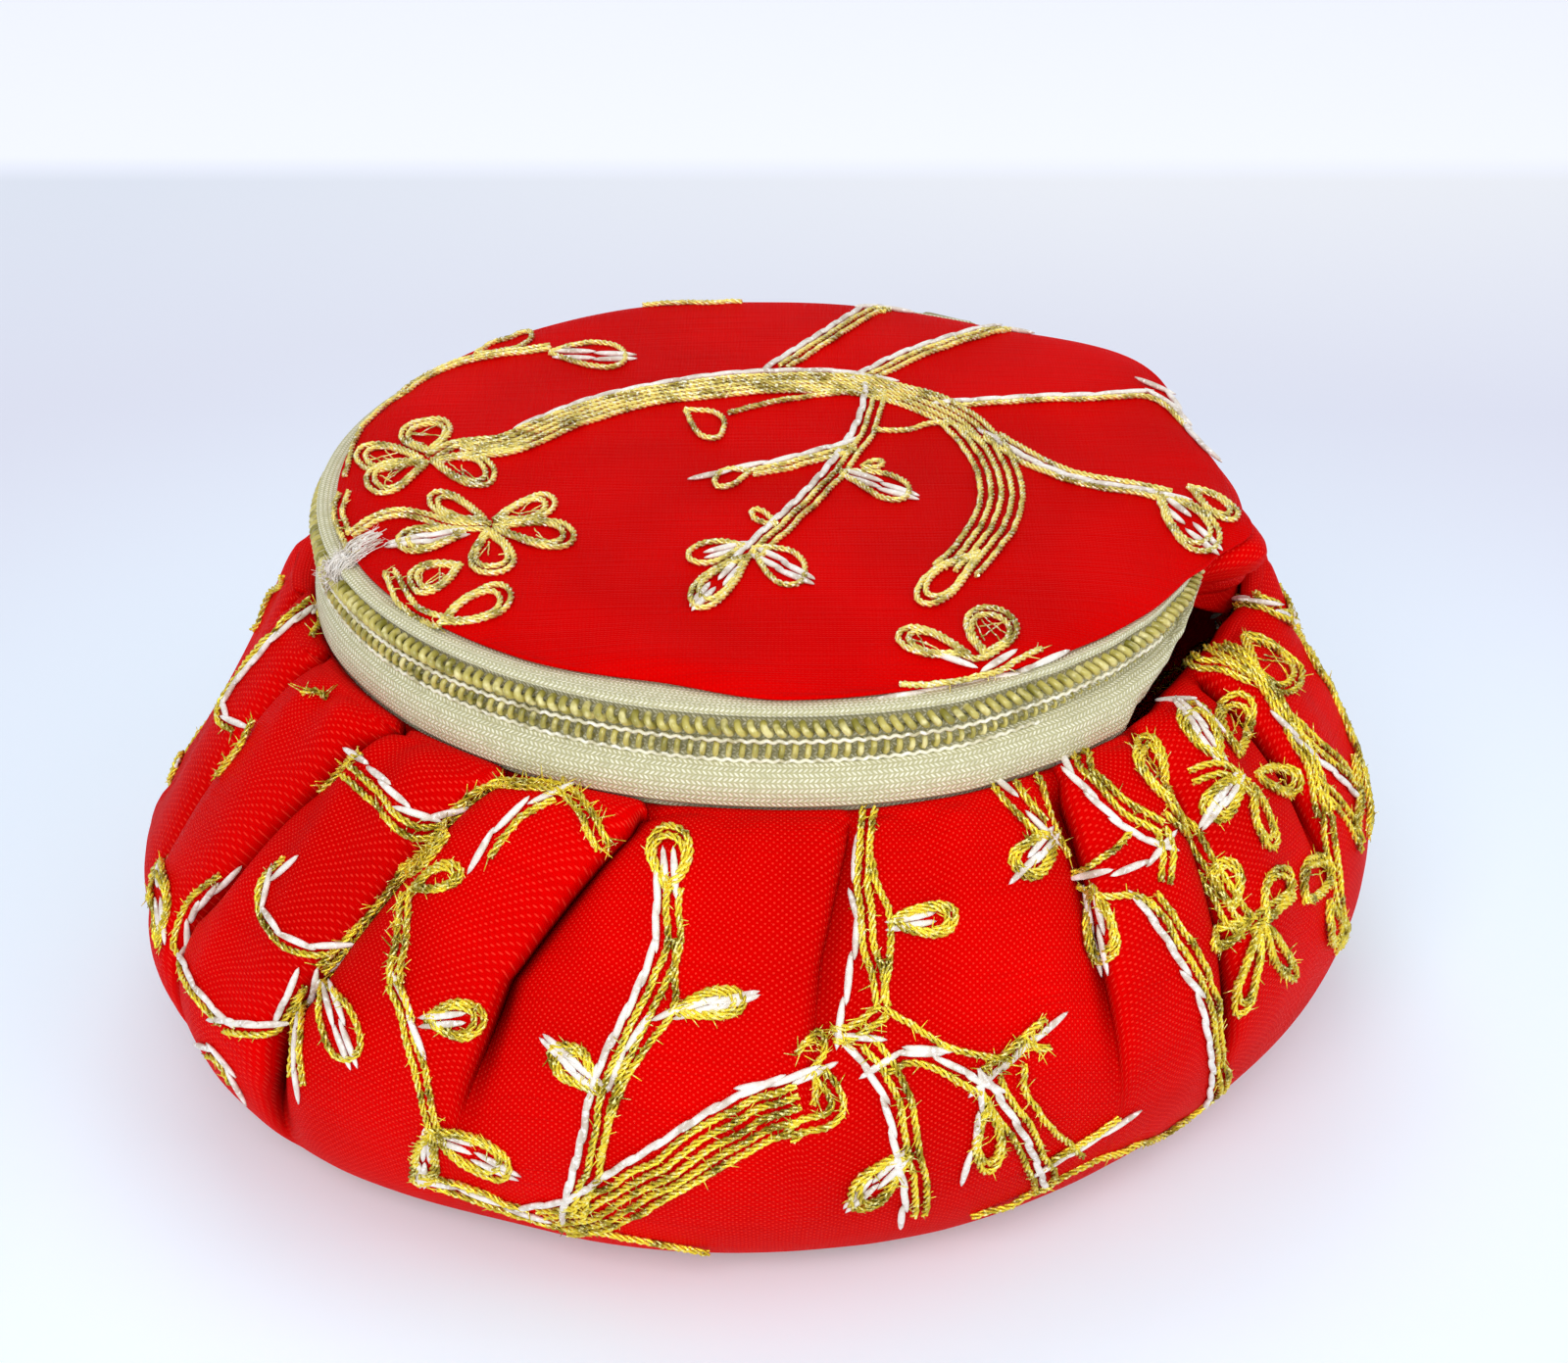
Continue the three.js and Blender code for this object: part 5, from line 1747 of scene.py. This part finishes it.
lidSurface = surfaceTree(lidCloth)
bodySurface = surfaceTree(bodyCloth)
embroidery = []
onLid = newThreads()
layThreads(lidSurface, photoPlace, lidLines.values(), lidPetals, onLid, 5)
embroidery += makeThreads("lid", onLid)
onFront = newThreads()
for motif in bodyMotifs.values():
    layThreads(bodySurface, photoPlace, motif["lines"], motif["petals"], onFront, 6)
embroidery += makeThreads("front", onFront)
onBack = newThreads()
for repeat in backRepeats:
    motif = bodyMotifs[repeat[0]]
    layThreads(bodySurface, backPlace(repeat), motif["lines"], motif["petals"], onBack, 7)
embroidery += makeThreads("back", onBack)
print("embroidery made")


# A fuzzy white tack that holds the two tapes together at the left
tack = {
    "route": [(312, 606), (326, 597), (339, 587), (356, 575), (372, 563), (400, 549)],
    "width": 15,  # pixels across
    "aside": (0.5, 0.87),  # across the route, in pixels
    "fibres": 46,
    "starts": (-0.1, 0.3),  # shares of the route where a fibre may start
    "ends": (0.55, 1.0),
    "stands": (0.2, 1.1),  # millimetres off the cloth
    "thread": {"Pitch": 2.4 * mm, "Ply Radius": 0.06 * mm, "Spread": 0.05 * mm, "Step": 0.5 * mm,
               "Stray": 0.7 * mm},
    "fuzz": {"Spacing": 1.2 * mm, "Share": 0.4, "Length": 2.0 * mm, "Thickness": 0.035 * mm, "Rise": 0.7},
}


def makeTack():
    draw = np.random.default_rng(41)
    surface = surfaceTree(lidCloth, upperTape, lowerTape, upperCoil)
    route = throughPoints(tack["route"], 3)
    side = np.array(tack["aside"])
    lines = []
    for _ in range(tack["fibres"]):
        first = int(len(route) * draw.uniform(*tack["starts"]))
        last = int(len(route) * draw.uniform(*tack["ends"]))
        spread = draw.normal(0, 0.3) * tack["width"]
        fibre = route[max(first, 0):last] + side * spread
        strand = layStrand(surface, photoPlace, fibre, 0, draw.uniform(*tack["stands"]) * mm)
        if strand is not None:
            lines.append(strand)
    pieces = []
    for name, chosen, tree in (("thread", lines, filamentTree), ("fuzz", lines[::2], bristleTree)):
        values = dict(tack[name], Material=whiteThread)
        pieces.append(growPiece(linePiece("tack_" + name, chosen), tree, values))
    return pieces


tackPieces = makeTack()
print("tack made")


# Stage, light and camera
floor = {
    # near, middle, back and backRight paint light and shade on the table: lighter towards the camera and to
    # the right behind, darker round the bag
    "near": (0.835, 0.855, 0.92),
    "middle": (0.77, 0.79, 0.89),
    "back": (0.82, 0.86, 0.93),
    "backRight": (0.93, 0.945, 0.965),
    "far": (0.90, 0.92, 1.0),
    # farGlow and bagGlow are painted light: the far backdrop and the table round the bag glow, though they
    # are no lamps
    "farGlow": (0.12, 0.12, 0.13),
    "bagGlow": (0.09, 0.18, 0.18),  # takes the bag's red light off the table round its foot
    "glowReach": (0.07, 0.2),
    "front": -0.2,
    "seam": 0.258,  # where the table's far edge shows behind the bag
    "seamBlur": (-0.002, 0.012),  # and how far it is blurred before and behind
    "middleFrom": 0.02,  # the table has its middle colour from here
    "backFrom": 0.15,  # to here, and its back colours at the seam
    "rightwards": (-0.12, 0.06),
    "half": 2.4,
}


def makeFloor():
    half = floor["half"]
    mesh = bpy.data.meshes.new("floor")
    corners = [(x, y, 0) for x, y in ((-half, -half), (half, -half), (half, half), (-half, half))]
    mesh.from_pydata(corners, [], [(0, 1, 2, 3)])
    material, shader, make, link = startMaterial("floor_paper", {
        "Roughness": 0.7, "Specular IOR Level": 0.2,
    })
    where = make("ShaderNodeTexCoord").outputs["Object"]
    split = make("ShaderNodeSeparateXYZ", Vector=where)
    far = ramp(make, split.outputs[1], *(floor["seam"] + blur for blur in floor["seamBlur"]))
    nearer = ramp(make, split.outputs[1], floor["front"], floor["middleFrom"])
    further = ramp(make, split.outputs[1], floor["backFrom"], floor["seam"])
    # Painted light and shade across the table
    tabletop = mixColour(make, nearer.outputs[0], floor["near"], floor["middle"])
    rightwards = ramp(make, split.outputs[0], *floor["rightwards"])
    behind = mixColour(make, rightwards.outputs[0], floor["back"], floor["backRight"])
    tabletop = mixColour(make, further.outputs[0], tabletop, behind)
    link(mixColour(make, far.outputs[0], tabletop, floor["far"]), shader.inputs["Base Color"])
    away = reckonVector(make, "LENGTH", where)
    close = make("ShaderNodeMapRange", {"interpolation_type": "SMOOTHSTEP"}, Value=away.outputs["Value"],
                 From_Min=floor["glowReach"][1], From_Max=floor["glowReach"][0])
    # A painted glow round the bag's foot and on the far backdrop
    glow = mixColour(make, close.outputs[0], (0.0, 0.0, 0.0), floor["bagGlow"])
    link(mixColour(make, far.outputs[0], glow, floor["farGlow"]), shader.inputs["Emission Color"])
    shader.inputs["Emission Strength"].default_value = 1.0
    return showPiece("floor", mesh, material)


makeFloor()


# Lamps: power in watts, width in metres, place and aim
lamps = {
    "key": (3.6, 0.5, (-0.14, -0.68, 0.52), (0, 0, 0.03)),
    "fill": (1.3, 0.6, (0.55, -0.3, 0.45), (0, 0, 0.03)),
    "back": (1.3, 0.6, (-0.1, 0.45, 0.8), (0, 0, 0.04)),
}
sky = {"Color": (0.89, 0.92, 1.0, 1), "Strength": 0.62}


def makeLight(name, power, size, place, aim):
    light = bpy.data.lights.new(name, "AREA")
    light.energy = power
    light.size = size
    lamp = bpy.data.objects.new(name, light)
    lamp.location = place
    lamp.rotation_euler = (Vector(aim) - Vector(place)).to_track_quat("-Z", "Y").to_euler()
    bpy.context.scene.collection.objects.link(lamp)


for name, values in lamps.items():
    makeLight(name, *values)
world = bpy.data.worlds.new("studio")
world.use_nodes = True
for name, value in sky.items():
    world.node_tree.nodes["Background"].inputs[name].default_value = value
bpy.context.scene.world = world
bpy.context.scene.view_settings.view_transform = "Standard"


def makeCamera():
    data = bpy.data.cameras.new("camera")
    data.lens = camera["lens"]
    data.sensor_width = camera["sensor"]
    data.shift_x = (camera["middlePixel"][0] - camera["targetPixel"][0]) / camera["width"]
    data.shift_y = (camera["targetPixel"][1] - camera["middlePixel"][1]) / camera["width"]
    eye = bpy.data.objects.new("camera", data)
    down = math.radians(camera["down"])
    away = Vector((0, -math.cos(down), math.sin(down))) * camera["distance"]
    eye.location = Vector(camera["target"]) + away
    eye.rotation_euler = (math.pi / 2 - down, 0, 0)
    bpy.context.scene.collection.objects.link(eye)
    bpy.context.scene.camera = eye


makeCamera()

# Bodies and what each piece stands for
for piece, node, slotName in (
    (bodyCloth, "body_wall", "red_cloth"),
    (lidCloth, "lid_panel", "red_cloth"),
    (hingeCloth, "hinge_panel", "red_cloth"),
    (lowerTape, "zip_tape_lower", "zip_tape"),
    (upperTape, "zip_tape_upper", "zip_tape"),
    (upperCoil, "zip_coil_upper", "zip_coil"),
    (lowerCoil, "zip_coil_lower", "zip_coil"),
    (zipSlider, "zip_slider", "zip_metal"),
    (baseCloth, "base_panel", "red_cloth"),
):
    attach(piece, "root")
    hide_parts(node)
for piece in embroidery + stitchLines + tackPieces:
    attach(piece, "root")
